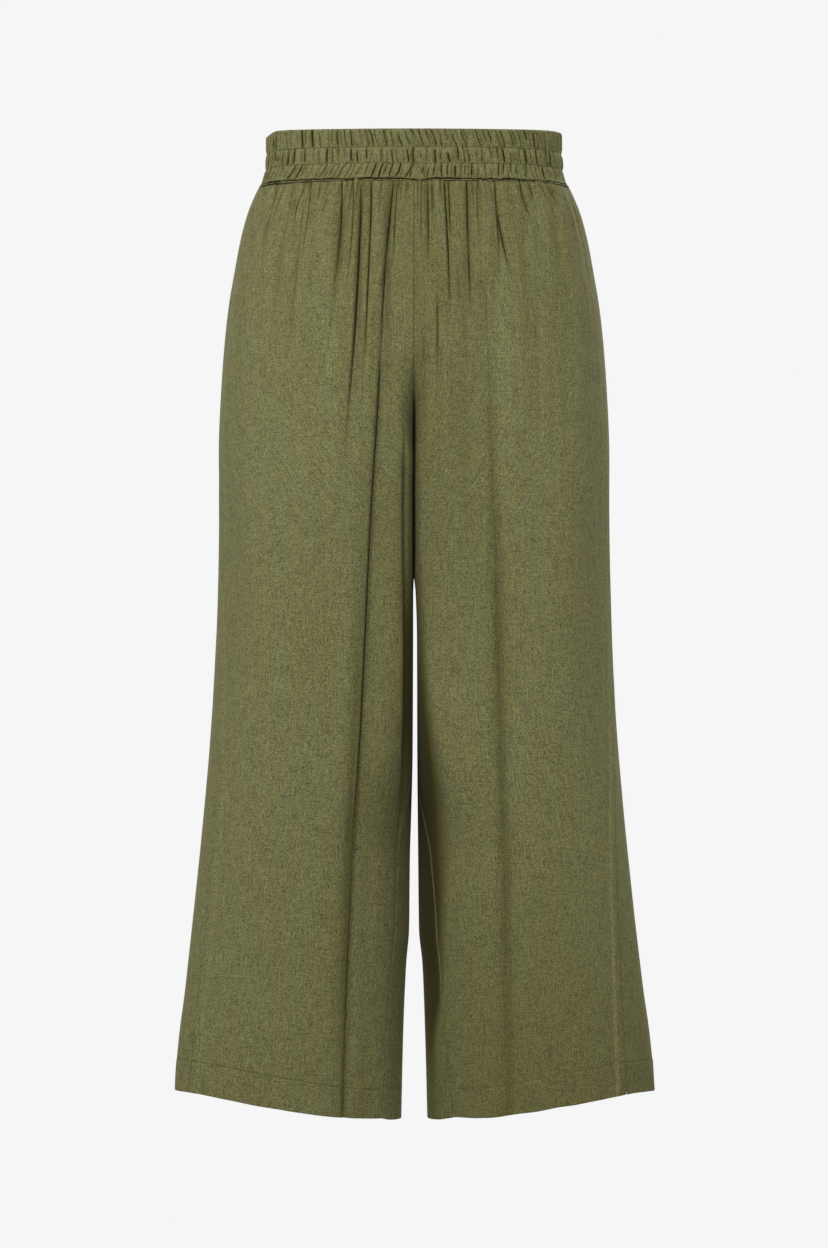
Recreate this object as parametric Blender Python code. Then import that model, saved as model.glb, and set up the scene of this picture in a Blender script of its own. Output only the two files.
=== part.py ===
"""Pull-on culottes with wide cropped legs and a ruched elastic waistband, hollow as worn.

Metres, +Z up. The front faces -Y, and +X is to the right of someone who looks at the front.
The origin is the middle of the waistband, half way up it, where a wearer holds the garment.

Every panel is a wall on one surface rule. ``across`` runs from the centre seam and the
inseam (0) to the side seam (1). ``down`` runs from the waist seam (0) to the hem (1).
"""

import math
from collections import namedtuple

import bmesh
import bpy
import numpy as np

# Cloth and seams
CLOTH = 0.0012              # one layer of the cloth, as a wall
TURNED_HEM = 0.0023         # the wall where the hem is turned up
HEM_DEPTH = 0.028           # height of the turned-up hem
HEM_STEP = 0.0012           # height over which the turned-up edge thickens the wall
SEAM_GAP = 0.0003           # clearance between two pieces at a seam
COLOUR = (0.165, 0.168, 0.076, 1.0)
BAND_COLOUR = (0.150, 0.153, 0.068, 1.0)
ROUGHNESS = 0.92

# Heights
BAND_TOP = 0.0225
WAIST_SEAM = -0.0218
HEM_AT_SIDE = -0.8052
HEM_AT_INSEAM = -0.8315
CROTCH = -0.2410
CROTCH_RISE = 0.086         # height over which the centre seams curve in under the body
CROTCH_LAG = 0.070          # how far the mesh rows drop on their way from crotch to side

# Outline seen from the front: half of the whole width at each height
Outline = namedtuple("Outline", "height half_width")
OUTLINE = (
    Outline(-0.0218, 0.1338),
    Outline(-0.0321, 0.1392),
    Outline(-0.0430, 0.1436),
    Outline(-0.0643, 0.1496),
    Outline(-0.0974, 0.1566),
    Outline(-0.1261, 0.1615),
    Outline(-0.1609, 0.1654),
    Outline(-0.2009, 0.1681),
    Outline(-0.2496, 0.1695),
    Outline(-0.3279, 0.1699),
    Outline(-0.3827, 0.1712),
    Outline(-0.4645, 0.1744),
    Outline(-0.5298, 0.1797),
    Outline(-0.6229, 0.1889),
    Outline(-0.7186, 0.1998),
    Outline(-0.7638, 0.2051),
    Outline(-0.8003, 0.2082),
    Outline(-0.8400, 0.2096),
)

# Depth of the body part in front of and behind the side seams
Depth = namedtuple("Depth", "height front back")
BODY_DEPTH = (
    Depth(-0.0218, 0.0950, 0.0990),
    Depth(-0.0430, 0.1015, 0.1085),
    Depth(-0.0974, 0.1105, 0.1230),
    Depth(-0.1400, 0.1150, 0.1310),
    Depth(-0.1800, 0.1165, 0.1345),
    Depth(-0.2496, 0.1160, 0.1320),
    Depth(-0.3200, 0.1130, 0.1270),
)
LEG_DEPTH = (
    Depth(-0.1400, 0.1080, 0.1230),
    Depth(-0.2496, 0.1075, 0.1210),
    Depth(-0.3600, 0.1010, 0.1090),
    Depth(-0.4645, 0.0925, 0.0950),
    Depth(-0.6229, 0.0800, 0.0760),
    Depth(-0.7186, 0.0735, 0.0670),
    Depth(-0.8400, 0.0680, 0.0590),
)
BODY_CORNERS = 0.050        # how much fuller than an ellipse the body section is
BAND_CORNERS = 0.075        # and the same for the waistband
LEG_PINCH = 0.09            # how much slimmer than an ellipse a leg is beside its seams
COLUMN_SHARE = 0.35         # even share in how the body's columns lie across a panel

# Each leg: its inner edge, and how far its inseam and side seam turn to the front
Leg = namedtuple("Leg", "height inner inseam_turn side_turn")
LEFT_LEG = (
    Leg(-0.1400, 0.0004, 0.0, 0.0),
    Leg(-0.2410, 0.0004, 0.0, 3.0),
    Leg(-0.2800, 0.0004, 14.0, 8.0),
    Leg(-0.3500, 0.0006, 20.0, 14.0),
    Leg(-0.4149, 0.0007, 22.0, 18.0),
    Leg(-0.5089, 0.0011, 25.0, 26.0),
    Leg(-0.6064, 0.0034, 28.0, 29.0),
    Leg(-0.6663, 0.0042, 29.0, 30.0),
    Leg(-0.6960, 0.0067, 30.0, 30.0),
    Leg(-0.7560, 0.0093, 31.0, 31.0),
    Leg(-0.8400, 0.0112, 34.0, 31.0),
)
RIGHT_LEG = (
    Leg(-0.1400, 0.0004, 0.0, 0.0),
    Leg(-0.2410, 0.0004, 0.0, 3.0),
    Leg(-0.2800, 0.0004, 3.0, 6.0),
    Leg(-0.3500, 0.0012, 4.0, 9.0),
    Leg(-0.4149, 0.0026, 5.0, 12.0),
    Leg(-0.5089, 0.0028, 14.0, 20.0),
    Leg(-0.6064, 0.0036, 29.0, 30.0),
    Leg(-0.6663, 0.0043, 33.0, 34.0),
    Leg(-0.6960, 0.0073, 33.0, 36.0),
    Leg(-0.7560, 0.0096, 34.0, 40.0),
    Leg(-0.8400, 0.0118, 40.0, 43.0),
)

# Folds: how far from the garment's middle their line lies at its top, middle and foot, how
# far down they start and end, how deep and how wide they are. A negative depth is a ridge.
Fold = namedtuple("Fold", "x_top x_middle x_foot start end depth half_width")
FOLDS = {
    "front_left": (
        Fold(0.0200, 0.0434, 0.0668, 0.000, 1.200, 0.0090, 0.010),
        Fold(0.0350, 0.0600, 0.0840, 0.050, 1.200, -0.0026, 0.013),
        Fold(0.0375, 0.0410, 0.0440, 0.000, 0.330, 0.0052, 0.007),
        Fold(0.0465, 0.0520, 0.0610, 0.000, 0.420, 0.0058, 0.008),
        Fold(0.0620, 0.0655, 0.0690, 0.000, 0.155, 0.0048, 0.007),
        Fold(0.1250, 0.1350, 0.1500, 0.300, 1.200, 0.0030, 0.030),
    ),
    "front_right": (
        Fold(0.0115, 0.0130, 0.0135, 0.000, 0.120, 0.0030, 0.006),
        Fold(0.0270, 0.0306, 0.0312, 0.000, 0.210, 0.0058, 0.008),
        Fold(0.0445, 0.0478, 0.0490, 0.005, 0.170, 0.0040, 0.007),
        Fold(0.0695, 0.0738, 0.0750, 0.000, 0.150, 0.0050, 0.008),
        Fold(0.0630, 0.0765, 0.0860, 0.110, 1.200, 0.0068, 0.011),
        Fold(0.0800, 0.0940, 0.1040, 0.180, 1.200, -0.0022, 0.014),
    ),
    "back_left": (
        Fold(0.0240, 0.0450, 0.0550, 0.000, 0.520, 0.0046, 0.009),
        Fold(0.0550, 0.0800, 0.0920, 0.000, 1.200, 0.0056, 0.012),
        Fold(0.0720, 0.0970, 0.1100, 0.080, 1.200, -0.0025, 0.014),
        Fold(0.0850, 0.0920, 0.0960, 0.000, 0.250, 0.0050, 0.008),
        Fold(0.1300, 0.1400, 0.1520, 0.350, 1.200, 0.0030, 0.028),
    ),
    "back_right": (
        Fold(0.0320, 0.0550, 0.0700, 0.000, 1.200, 0.0078, 0.012),
        Fold(0.0480, 0.0720, 0.0880, 0.060, 1.200, -0.0026, 0.014),
        Fold(0.0620, 0.0740, 0.0800, 0.000, 0.400, 0.0055, 0.009),
        Fold(0.0880, 0.0940, 0.0980, 0.000, 0.230, 0.0048, 0.008),
        Fold(0.1200, 0.1320, 0.1450, 0.300, 1.200, 0.0028, 0.030),
    ),
}
FOLD_SPREAD = 0.5           # how much wider a fold is at its foot than at its top
FOLD_RUN_IN = 0.04          # share of the length over which a fold sinks in
FOLD_AT_START = 0.35        # how far along that run-in a fold already is at its start
FOLD_RUN_OUT = 0.45         # share of a fold, at its foot, over which it runs out

# Gathers under the waist seam: how many to a panel, how deep, and where they fade out
Gathers = namedtuple("Gathers", "count shift")
GATHERS = {
    "front_left": Gathers(11, 0.15),
    "front_right": Gathers(11, 0.55),
    "back_left": Gathers(12, 0.35),
    "back_right": Gathers(12, 0.80),
}
GATHER_DEPTH = 0.0040
GATHER_AT_SEAM = 0.45       # share of that depth at the seam itself
GATHER_SWELL = 0.020        # height over which the gathers open out below the seam
GATHER_FADE = 0.115         # distance below the seam where they have gone
GATHER_HOLD = 0.2           # share of that distance where they keep their full depth
GATHER_DRIFT = 0.22         # how far, in gathers, their spacing wanders
GATHER_DRIFTS = 9           # how fast it wanders across a panel
GATHER_UNEVEN = 0.25        # how much their depths differ
GATHER_BEAT = 1.77          # how fast the depths change from one gather to the next
EDGE_CALM = 0.05            # share of a panel beside each seam that stays free of folds

# Waistband: tunnels of elastic between rows of stitching, and the ruche waves round it
BAND_WAVES = 78
BAND_TUNNELS = 3
BAND_WALL = 0.0024
TUNNEL_PUFF = 0.0015
RUCHE_MIDDLE = 0.0011
RUCHE_AT_STITCHES = 0.0005
TOP_EDGE_INSET = 0.0011
RUCHE_UNEVEN = 0.2          # how much the ruche waves differ in depth
RUCHE_BEAT = 1.9            # how fast that depth changes from one wave to the next
COLUMNS_PER_WAVE = 3
ROWS_PER_TUNNEL = 3
Drift = namedtuple("Drift", "size count start")
BAND_DRIFTS = (             # how the ruche's spacing wanders round the band
    Drift(0.35, 7, 0.6),
    Drift(0.22, 13, 2.0),
)
Band = namedtuple("Band", "height half_width front back lean")
BAND = (
    Band(0.0225, 0.1268, 0.0905, 0.0930, 0.000),
    Band(0.0080, 0.1272, 0.0905, 0.0930, 0.042),
    Band(-0.0068, 0.1278, 0.0910, 0.0938, 0.036),
    Band(-0.0218, 0.1312, 0.0930, 0.0968, 0.000),
)

# How finely the walls are cut
GATHER_COLUMNS = 36
LEG_COLUMNS = 22
GATHER_ROWS = 5
GATHER_ZONE = 0.115         # how far down the fine columns reach
GATHER_ROW_GROWTH = 1.5
BODY_ROWS = 2
CROTCH_ROWS = 6
LEG_ROWS = 10
HEM_ROUNDING = 0.1          # share of the hem's height left below its last but one row
CREASE_ANGLE = 50           # degrees above which an edge is drawn sharp
FOLD_CROWDING = 1.0         # how strongly the leg columns crowd towards the longer folds
FOLD_REACH = 0.045
NARROW_FOLD = 0.020         # half width under which a fold draws columns to it
LEG_WIDTH = 0.174           # of a leg at the knee

SIDE_LENGTH = WAIST_SEAM - HEM_AT_SIDE
CROTCH_DOWN = (WAIST_SEAM - CROTCH + CROTCH_LAG) / SIDE_LENGTH
CURVE_DOWN = (WAIST_SEAM - CROTCH - CROTCH_RISE) / SIDE_LENGTH
ROW_LIFT_POWER = 5
BLEND_START = CURVE_DOWN            # where the body begins to turn into legs, off the seam
BLEND_END = CROTCH_DOWN + 0.10      # and where it has
BLEND_ACROSS = 0.22                 # share of the panel that follows the seam's own curve
TINY = 1e-4
NAME = "culottes"


def read(rows, column, height):
    """Value of a table's column at a height, along a smooth curve that never overshoots."""
    heights = np.array([row.height for row in rows])[::-1]
    values = np.array([getattr(row, column) for row in rows])[::-1]
    steps = np.diff(heights)
    slopes = np.diff(values) / steps
    tangents = np.zeros(len(values))
    same_way = slopes[:-1] * slopes[1:] > 0
    mean = 2 * slopes[:-1] * slopes[1:] / np.where(same_way, slopes[:-1] + slopes[1:], 1.0)
    tangents[1:-1] = np.where(same_way, mean, 0.0)
    tangents[0] = slopes[0]
    tangents[-1] = slopes[-1]
    height = np.clip(height, heights[0], heights[-1])
    cell = np.clip(np.searchsorted(heights, height, side="right") - 1, 0, len(steps) - 1)
    t = (height - heights[cell]) / steps[cell]
    rise = steps[cell]
    start = (1 + 2 * t) * (1 - t) ** 2 * values[cell] + t * (1 - t) ** 2 * rise * tangents[cell]
    end = t * t * (3 - 2 * t) * values[cell + 1] - t * t * (1 - t) * rise * tangents[cell + 1]
    return start + end


def ease(value):
    """A smooth step from 0 to 1 as the value goes from 0 to 1."""
    value = np.clip(value, 0.0, 1.0)
    return value * value * (3 - 2 * value)


def body_share(across):
    """Sideways place on the body, 0 at the centre seam and 1 at the side, for a column."""
    return (1 - COLUMN_SHARE) * (1 - np.cos(math.pi * across)) / 2 + COLUMN_SHARE * across


def centre_line(down):
    """Height of the centre seam and inseam, and how far the body is still one tube there."""
    curve = np.clip((down - CURVE_DOWN) / (CROTCH_DOWN - CURVE_DOWN), 0.0, 1.0) * math.pi / 2
    leg = np.clip((down - CROTCH_DOWN) / (1 - CROTCH_DOWN), 0.0, 1.0)
    straight = WAIST_SEAM + (CROTCH + CROTCH_RISE - WAIST_SEAM) * np.clip(down / CURVE_DOWN, 0, 1)
    curved = straight - CROTCH_RISE * np.sin(curve)
    return curved + (HEM_AT_INSEAM - CROTCH) * leg, np.cos(curve)


def smooth_surface(side, face, across, down):
    """Points of the unfolded surface; side is -1 or 1 in X, face -1 (front) or 1 (back)."""
    across, down = np.broadcast_arrays(np.asarray(across, float), np.asarray(down, float))
    leg_rows = RIGHT_LEG if side > 0 else LEFT_LEG
    centre_height, whole = centre_line(down)
    tilt = (HEM_AT_INSEAM - HEM_AT_SIDE) * ease((down - CROTCH_DOWN) / (1 - CROTCH_DOWN))
    level = WAIST_SEAM - SIDE_LENGTH * down
    gradual = 1 - ease((down - BLEND_START) / (BLEND_END - BLEND_START))
    whole = whole + (gradual - whole) * ease(across / BLEND_ACROSS)
    lift = (centre_height - level - tilt) * (1 - across) ** ROW_LIFT_POWER
    height = level + tilt * (1 + np.cos(math.pi * across)) / 2 + lift

    half_width = read(OUTLINE, "half_width", height)
    side_turn = np.radians(read(leg_rows, "side_turn", height))
    quarter = math.pi / 2 + face * side_turn
    angle = np.arcsin(np.clip(body_share(across), 0, 1)) * quarter / (math.pi / 2)
    corners = 1 + BODY_CORNERS * np.sin(2 * angle) ** 2
    behind = np.cos(angle) * face > 0
    depth = np.where(behind, read(BODY_DEPTH, "back", height), read(BODY_DEPTH, "front", height))
    body_x = SEAM_GAP / 2 + (half_width - SEAM_GAP / 2) * np.sin(angle) * corners
    body_x = np.minimum(body_x, half_width)
    body_y = face * depth * np.cos(angle) * corners

    inner = read(leg_rows, "inner", height)
    inseam_turn = np.radians(read(leg_rows, "inseam_turn", height))
    first = -face * inseam_turn
    turn = first + (math.pi + face * side_turn - first) * across
    middle = (half_width + inner) / 2
    radius = (half_width - inner) / 2
    behind = np.sin(turn) * face > 0
    depth = np.where(behind, read(LEG_DEPTH, "back", height), read(LEG_DEPTH, "front", height))
    leg_x = middle - radius * np.cos(turn)
    leg_y = face * depth * np.sin(turn) * (1 - LEG_PINCH * np.cos(turn) ** 2)

    x = whole * body_x + (1 - whole) * leg_x
    y = whole * body_y + (1 - whole) * leg_y
    return np.stack([side * x, y, height], axis=-1)


def outward(points, side, face, across, down):
    """Unit normals of a surface function, pointing out of the garment."""
    before = points(side, face, np.maximum(across - TINY, 0.0), down)
    after = points(side, face, np.minimum(across + TINY, 1.0), down)
    above = points(side, face, across, np.maximum(down - TINY, 0.0))
    below = points(side, face, across, np.minimum(down + TINY, 1.0))
    normal = side * face * np.cross(after - before, below - above)
    return normal / np.maximum(np.linalg.norm(normal, axis=-1, keepdims=True), 1e-12)


def panel_name(side, face):
    """Name of the panel on a side and face."""
    return ("front_" if face < 0 else "back_") + ("right" if side > 0 else "left")


def fold_line(fold, along):
    """Distance of a fold's line from the garment's middle, on a curve through 3 points."""
    first = 4 * fold.x_middle - 3 * fold.x_top - fold.x_foot
    second = 2 * (fold.x_top - 2 * fold.x_middle + fold.x_foot)
    return fold.x_top + first * along + second * along ** 2


def relief(side, face, across, down, from_middle):
    """How far the folds and gathers lower (-) or raise (+) the cloth at a point."""
    name = panel_name(side, face)
    distance = down * SIDE_LENGTH
    total = np.zeros_like(from_middle)
    for fold in FOLDS[name]:
        along = np.clip((down - fold.start) / (fold.end - fold.start), 0.0, 1.0)
        offset = (from_middle - fold_line(fold, along)) / fold.half_width
        offset = offset / (1 + FOLD_SPREAD * along)
        run_in = ease((down - fold.start) / FOLD_RUN_IN + FOLD_AT_START)
        run_out = 1 - ease((along - 1 + FOLD_RUN_OUT) / FOLD_RUN_OUT)
        total = total - fold.depth * run_in * run_out / (1 + offset ** 2) ** 2
    gathers = GATHERS[name]
    place = np.arcsin(np.clip(body_share(across), 0, 1)) / (math.pi / 2)
    phase = gathers.count * place + gathers.shift
    phase = phase + GATHER_DRIFT * np.sin(GATHER_DRIFTS * place + 7 * gathers.shift)
    swell = GATHER_AT_SEAM + (1 - GATHER_AT_SEAM) * ease(distance / GATHER_SWELL)
    fade = 1 - ease((distance / GATHER_FADE - GATHER_HOLD) / (1 - GATHER_HOLD))
    uneven = 1 - GATHER_UNEVEN + GATHER_UNEVEN * np.sin(GATHER_BEAT * phase + gathers.shift)
    total = total - GATHER_DEPTH * swell * fade * uneven * np.cos(math.pi * phase) ** 2
    calm = ease(across / EDGE_CALM) * ease((1 - across) / EDGE_CALM)
    return total * calm


def folded_surface(side, face, across, down):
    """Points of the outer face of a panel, folds and gathers included."""
    across, down = np.broadcast_arrays(np.asarray(across, float), np.asarray(down, float))
    base = smooth_surface(side, face, across, down)
    lift = relief(side, face, across, down, side * base[..., 0])
    return base + outward(smooth_surface, side, face, across, down) * lift[..., None]


def even_body_columns(count):
    """Columns that lie evenly along the waist seam."""
    fine = np.linspace(0.0, 1.0, 2001)
    places = np.arcsin(np.clip(body_share(fine), 0, 1)) / (math.pi / 2)
    return np.interp(np.linspace(0.0, 1.0, count + 1), places, fine)


def crowded_columns(name, count):
    """Columns below the gathers, closer together where the panel's longer folds lie."""
    fine = np.linspace(0.0, 1.0, 2001)
    density = np.ones_like(fine)
    for fold in FOLDS[name]:
        if fold.end > GATHER_ZONE / SIDE_LENGTH and fold.half_width < NARROW_FOLD:
            share = fold.x_middle / LEG_WIDTH
            near = np.exp(-((fine - math.acos(1 - 2 * share) / math.pi) / FOLD_REACH) ** 2)
            density += FOLD_CROWDING * near
    total = np.concatenate([[0.0], np.cumsum((density[1:] + density[:-1]) / 2)])
    return np.interp(np.linspace(0.0, total[-1], count + 1), total, fine)


def panel_rows(name):
    """Rows of a panel from waist to hem, each as its place down and its columns."""
    fine = even_body_columns(GATHER_COLUMNS)
    coarse = crowded_columns(name, LEG_COLUMNS)
    zone = GATHER_ZONE / SIDE_LENGTH
    hem = 1 - HEM_DEPTH / SIDE_LENGTH
    foot = 1 - HEM_ROUNDING * HEM_DEPTH / SIDE_LENGTH
    top = [(zone * (k / GATHER_ROWS) ** GATHER_ROW_GROWTH, fine) for k in range(GATHER_ROWS + 1)]
    body = np.linspace(zone, CURVE_DOWN, BODY_ROWS + 1)[1:]
    crotch = np.linspace(CURVE_DOWN, CROTCH_DOWN, CROTCH_ROWS + 1)[1:]
    leg = np.linspace(CROTCH_DOWN, hem - HEM_STEP / SIDE_LENGTH, LEG_ROWS + 1)[1:]
    lower = np.concatenate([body, crotch, leg, [hem, foot, 1.0]])
    return top + [(down, coarse) for down in lower]


def into_panel(side, face, edge, down):
    """Unit vector along the cloth, square to a seam (edge 0 or 1), into the panel."""
    point = folded_surface(side, face, edge, down)
    inwards = folded_surface(side, face, edge + TINY * (1 - 2 * edge), down) - point
    above = folded_surface(side, face, edge, max(down - TINY, 0.0))
    below = folded_surface(side, face, edge, min(down + TINY, 1.0))
    seam = (below - above) / np.linalg.norm(below - above)
    inwards = inwards - seam * np.dot(inwards, seam)
    return inwards / np.linalg.norm(inwards)


def wall_row(side, face, across, down):
    """Outer and inner points of one row of a panel's wall."""
    outer = folded_surface(side, face, across, down)
    normal = outward(folded_surface, side, face, across, down)
    if down >= CROTCH_DOWN - TINY:
        corner = 1.0 if down > CROTCH_DOWN + TINY else math.sqrt(2)
        outer[0] += into_panel(side, face, 0, down) * corner * SEAM_GAP / 2
    outer[-1] += into_panel(side, face, 1, down) * SEAM_GAP / 2
    if down == 0.0:
        outer[:, 2] -= SEAM_GAP / 2
    in_hem = down >= 1 - (HEM_DEPTH + HEM_STEP / 2) / SIDE_LENGTH
    inner = outer - normal * (TURNED_HEM if in_hem else CLOTH)
    if down == 0.0 or down == 1.0:
        inner[:, 2] = outer[:, 2]
    return outer, inner


def strip(bm, upper, lower, upper_places, lower_places, flip):
    """Faces between two rows, which may have different numbers of points."""
    i = 0
    j = 0
    while i < len(upper) - 1 or j < len(lower) - 1:
        if i < len(upper) - 1 and j < len(lower) - 1 and \
                abs(upper_places[i + 1] - lower_places[j + 1]) < TINY:
            corners = [upper[i], upper[i + 1], lower[j + 1], lower[j]]
            i += 1
            j += 1
        elif j == len(lower) - 1 or \
                (i < len(upper) - 1 and upper_places[i + 1] < lower_places[j + 1]):
            corners = [upper[i], upper[i + 1], lower[j]]
            i += 1
        else:
            corners = [upper[i], lower[j + 1], lower[j]]
            j += 1
        bm.faces.new(corners[::-1] if flip else corners)


def material(name, colour):
    """A matt cloth material."""
    made = bpy.data.materials.new(name)
    made.use_nodes = True
    shader = made.node_tree.nodes["Principled BSDF"]
    shader.inputs["Base Color"].default_value = colour
    shader.inputs["Roughness"].default_value = ROUGHNESS
    shader.inputs["Metallic"].default_value = 0.0
    made.diffuse_color = colour
    return made


def add_object(bm, name, colour, collection):
    """Turn a bmesh into a named, smooth-shaded object of the collection."""
    bmesh.ops.triangulate(bm, faces=bm.faces, quad_method="SHORT_EDGE")
    mesh = bpy.data.meshes.new(name)
    bm.to_mesh(mesh)
    bm.free()
    mesh.shade_smooth()
    mesh.set_sharp_from_angle(angle=math.radians(CREASE_ANGLE))
    mesh.materials.append(material(name + "_cloth", colour))
    made = bpy.data.objects.new(name, mesh)
    collection.objects.link(made)
    return made


def build_panel(side, face, collection):
    """One leg panel, from the waist seam to the hem, as a closed wall."""
    name = panel_name(side, face)
    bm = bmesh.new()
    rows = []
    for down, across in panel_rows(name):
        outer, inner = wall_row(side, face, across, down)
        outer_points = [bm.verts.new(point) for point in outer]
        inner_points = [bm.verts.new(point) for point in inner]
        rows.append((across, outer_points, inner_points))
    flip = side * face < 0
    for (upper, upper_out, upper_in), (lower, lower_out, lower_in) in zip(rows, rows[1:]):
        strip(bm, upper_out, lower_out, upper, lower, flip)
        strip(bm, upper_in, lower_in, upper, lower, not flip)
        for edge in (0, -1):
            rim = [upper_out[edge], upper_in[edge], lower_in[edge], lower_out[edge]]
            bm.faces.new(rim if (edge == 0) == flip else rim[::-1])
    for index, turned in ((0, flip), (-1, not flip)):
        places, outer_points, inner_points = rows[index]
        strip(bm, outer_points, inner_points, places, places, not turned)
    return add_object(bm, name, COLOUR, collection)


def band_wave_angles():
    """Angles of the waistband's columns, closer and wider by turns as ruched cloth is."""
    fine = np.linspace(0.0, 2 * math.pi, 7201)
    phase = BAND_WAVES * fine / (2 * math.pi)
    for drift in BAND_DRIFTS:
        wander = np.sin(drift.count * fine + drift.start) - math.sin(drift.start)
        phase = phase + drift.size * wander
    columns = BAND_WAVES * COLUMNS_PER_WAVE
    return np.interp(np.arange(columns) / COLUMNS_PER_WAVE, phase, fine)


def band_ring(height, angles, proud):
    """Points round the waistband at one height, standing proud of its oval."""
    half_width = read(BAND, "half_width", height)
    front = read(BAND, "front", height)
    back = read(BAND, "back", height)
    depth = np.where(np.cos(angles) > 0, front, back)
    corners = 1 + BAND_CORNERS * np.sin(2 * angles) ** 2
    x = half_width * np.sin(angles) * corners
    y = -depth * np.cos(angles) * corners
    away = np.stack([np.sin(angles) / half_width, -np.cos(angles) / depth], axis=-1)
    away /= np.linalg.norm(away, axis=-1, keepdims=True)
    flat = np.stack([x, y], axis=-1) + away * np.reshape(proud, (-1, 1))
    return np.concatenate([flat, np.full((len(angles), 1), height)], axis=-1)


def build_waistband(collection):
    """The ruched waistband: puffed tunnels outside over a plain inner wall."""
    angles = band_wave_angles()
    columns = np.arange(len(angles))
    wave = columns // COLUMNS_PER_WAVE
    ruche = np.where(columns % COLUMNS_PER_WAVE == 0, -1.0, 0.5)
    ruche = ruche * (1 - RUCHE_UNEVEN + RUCHE_UNEVEN * np.sin(RUCHE_BEAT * wave))
    bottom = WAIST_SEAM + SEAM_GAP / 2
    count = BAND_TUNNELS * ROWS_PER_TUNNEL
    bm = bmesh.new()
    rows = []
    for k in range(count + 1):
        height = BAND_TOP + (bottom - BAND_TOP) * k / count
        in_tunnel = math.sin(math.pi * (k % ROWS_PER_TUNNEL) / ROWS_PER_TUNNEL)
        proud = TUNNEL_PUFF * in_tunnel
        size = RUCHE_AT_STITCHES + (RUCHE_MIDDLE - RUCHE_AT_STITCHES) * in_tunnel
        if k == 0:
            proud -= TOP_EDGE_INSET
        lean = read(BAND, "lean", height)
        rows.append(band_ring(height, angles + lean, proud + size * ruche))
    inwards = np.full(len(angles), -BAND_WALL)
    rows += [band_ring(height, angles, inwards) for height in (bottom, 0.0, BAND_TOP)]
    rings = [[bm.verts.new(point) for point in row] for row in rows]
    for ring, following in zip(rings, rings[1:] + rings[:1]):
        for k in range(len(ring)):
            after = (k + 1) % len(ring)
            bm.faces.new([ring[k], following[k], following[after], ring[after]])
    return add_object(bm, "waistband", BAND_COLOUR, collection)


def main():
    """Clear the scene and build the waistband and the four leg panels."""
    for old in list(bpy.data.objects):
        bpy.data.objects.remove(old, do_unlink=True)
    collection = bpy.data.collections.new(NAME)
    bpy.context.scene.collection.children.link(collection)
    build_waistband(collection)
    for side in (-1, 1):
        for face in (-1, 1):
            build_panel(side, face, collection)


main()
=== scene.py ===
"""Looks of the culottes: fine cloth shells, ruched waistband, stitching, weave and studio.

Metres, +Z up. The front faces -Y, and +X is to the right of someone who looks at the front.
``across`` runs over a leg panel from its centre seam and inseam (0) to its side seam (1),
and ``down`` from the waist seam (0) to the hem (1).
"""

from __future__ import annotations

import logging
import math
from dataclasses import dataclass, field
from enum import Enum
from typing import NamedTuple, Sequence

import bpy
import numpy as np
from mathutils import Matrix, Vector

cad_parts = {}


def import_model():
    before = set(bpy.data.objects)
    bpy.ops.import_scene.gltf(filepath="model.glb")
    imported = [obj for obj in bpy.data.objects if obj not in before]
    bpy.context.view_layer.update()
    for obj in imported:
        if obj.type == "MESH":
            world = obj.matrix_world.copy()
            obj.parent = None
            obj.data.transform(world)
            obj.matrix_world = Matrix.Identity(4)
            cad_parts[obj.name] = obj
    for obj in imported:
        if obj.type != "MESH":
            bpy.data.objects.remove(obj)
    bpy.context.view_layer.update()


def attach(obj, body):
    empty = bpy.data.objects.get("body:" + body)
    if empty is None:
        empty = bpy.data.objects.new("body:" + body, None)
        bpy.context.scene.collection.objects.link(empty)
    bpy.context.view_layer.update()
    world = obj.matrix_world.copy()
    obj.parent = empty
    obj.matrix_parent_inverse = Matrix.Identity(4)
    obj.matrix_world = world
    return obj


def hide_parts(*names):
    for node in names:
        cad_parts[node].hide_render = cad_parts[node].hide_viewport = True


LOG = logging.getLogger("culottes")
Array = np.ndarray
Colour = tuple[float, float, float, float]
Socket = bpy.types.NodeSocket

# Painted dark lines along the creases: the least strength that counts, how far from its line a crease
# is told apart, and how much nearer than the next line it must be to show in full.
LINE_FAINTEST = 0.01
LINE_REACH = 0.009
LINE_CLEARANCE = 0.0016


class Side(Enum):
    """Which leg a panel belongs to, as its sign in X."""

    LEFT = -1
    RIGHT = 1


class Face(Enum):
    """Whether a panel is a front or a back one, as its sign in Y."""

    FRONT = -1
    BACK = 1


class Fold(NamedTuple):
    """A fold or crease: distances of its line from the middle, its run, depth and half width.

    ``lap`` is how far its outer side laps over it (+) or is lapped (-).
    """

    x_top: float
    x_middle: float
    x_foot: float
    start: float
    end: float
    depth: float
    half_width: float
    lap: float = 0.0


class Gathers(NamedTuple):
    """The large gathers of a panel: how many, and how far they are shifted."""

    count: float
    shift: float


class Span(NamedTuple):
    """A range of values: the least of them, and how much more the largest is."""

    least: float
    extra: float

    def at(self, share: Array) -> Array:
        """The value at a share of the range."""
        return self.least + self.extra * share


class Ramp(NamedTuple):
    """A smooth step from 0 to 1: where it starts and how far it reaches, below 0 if downwards."""

    start: float
    reach: float

    def at(self, value: Array | float) -> Array:
        """Height of the step at a value."""
        return ease((value - self.start) / self.reach)


class Bump(NamedTuple):
    """A smooth bump of height 1: its place and its width."""

    place: float
    width: float

    def at(self, value: Array) -> Array:
        """Height of the bump at a value."""
        return bell((value - self.place) / self.width)


class Ripple(NamedTuple):
    """Smooth unevenness of the cloth: its seed, its cells' width and height, and its size."""

    seed: int
    width: float
    height: float
    size: float


class LegPaintedLight(NamedTuple):
    """Painted light of one leg: how much painted shade darkens its foot, how its painted darker middle
    fades, and its ridge's painted highlight.
    """

    painted_foot_shade: float
    middle: Ramp
    pale: float


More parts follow.
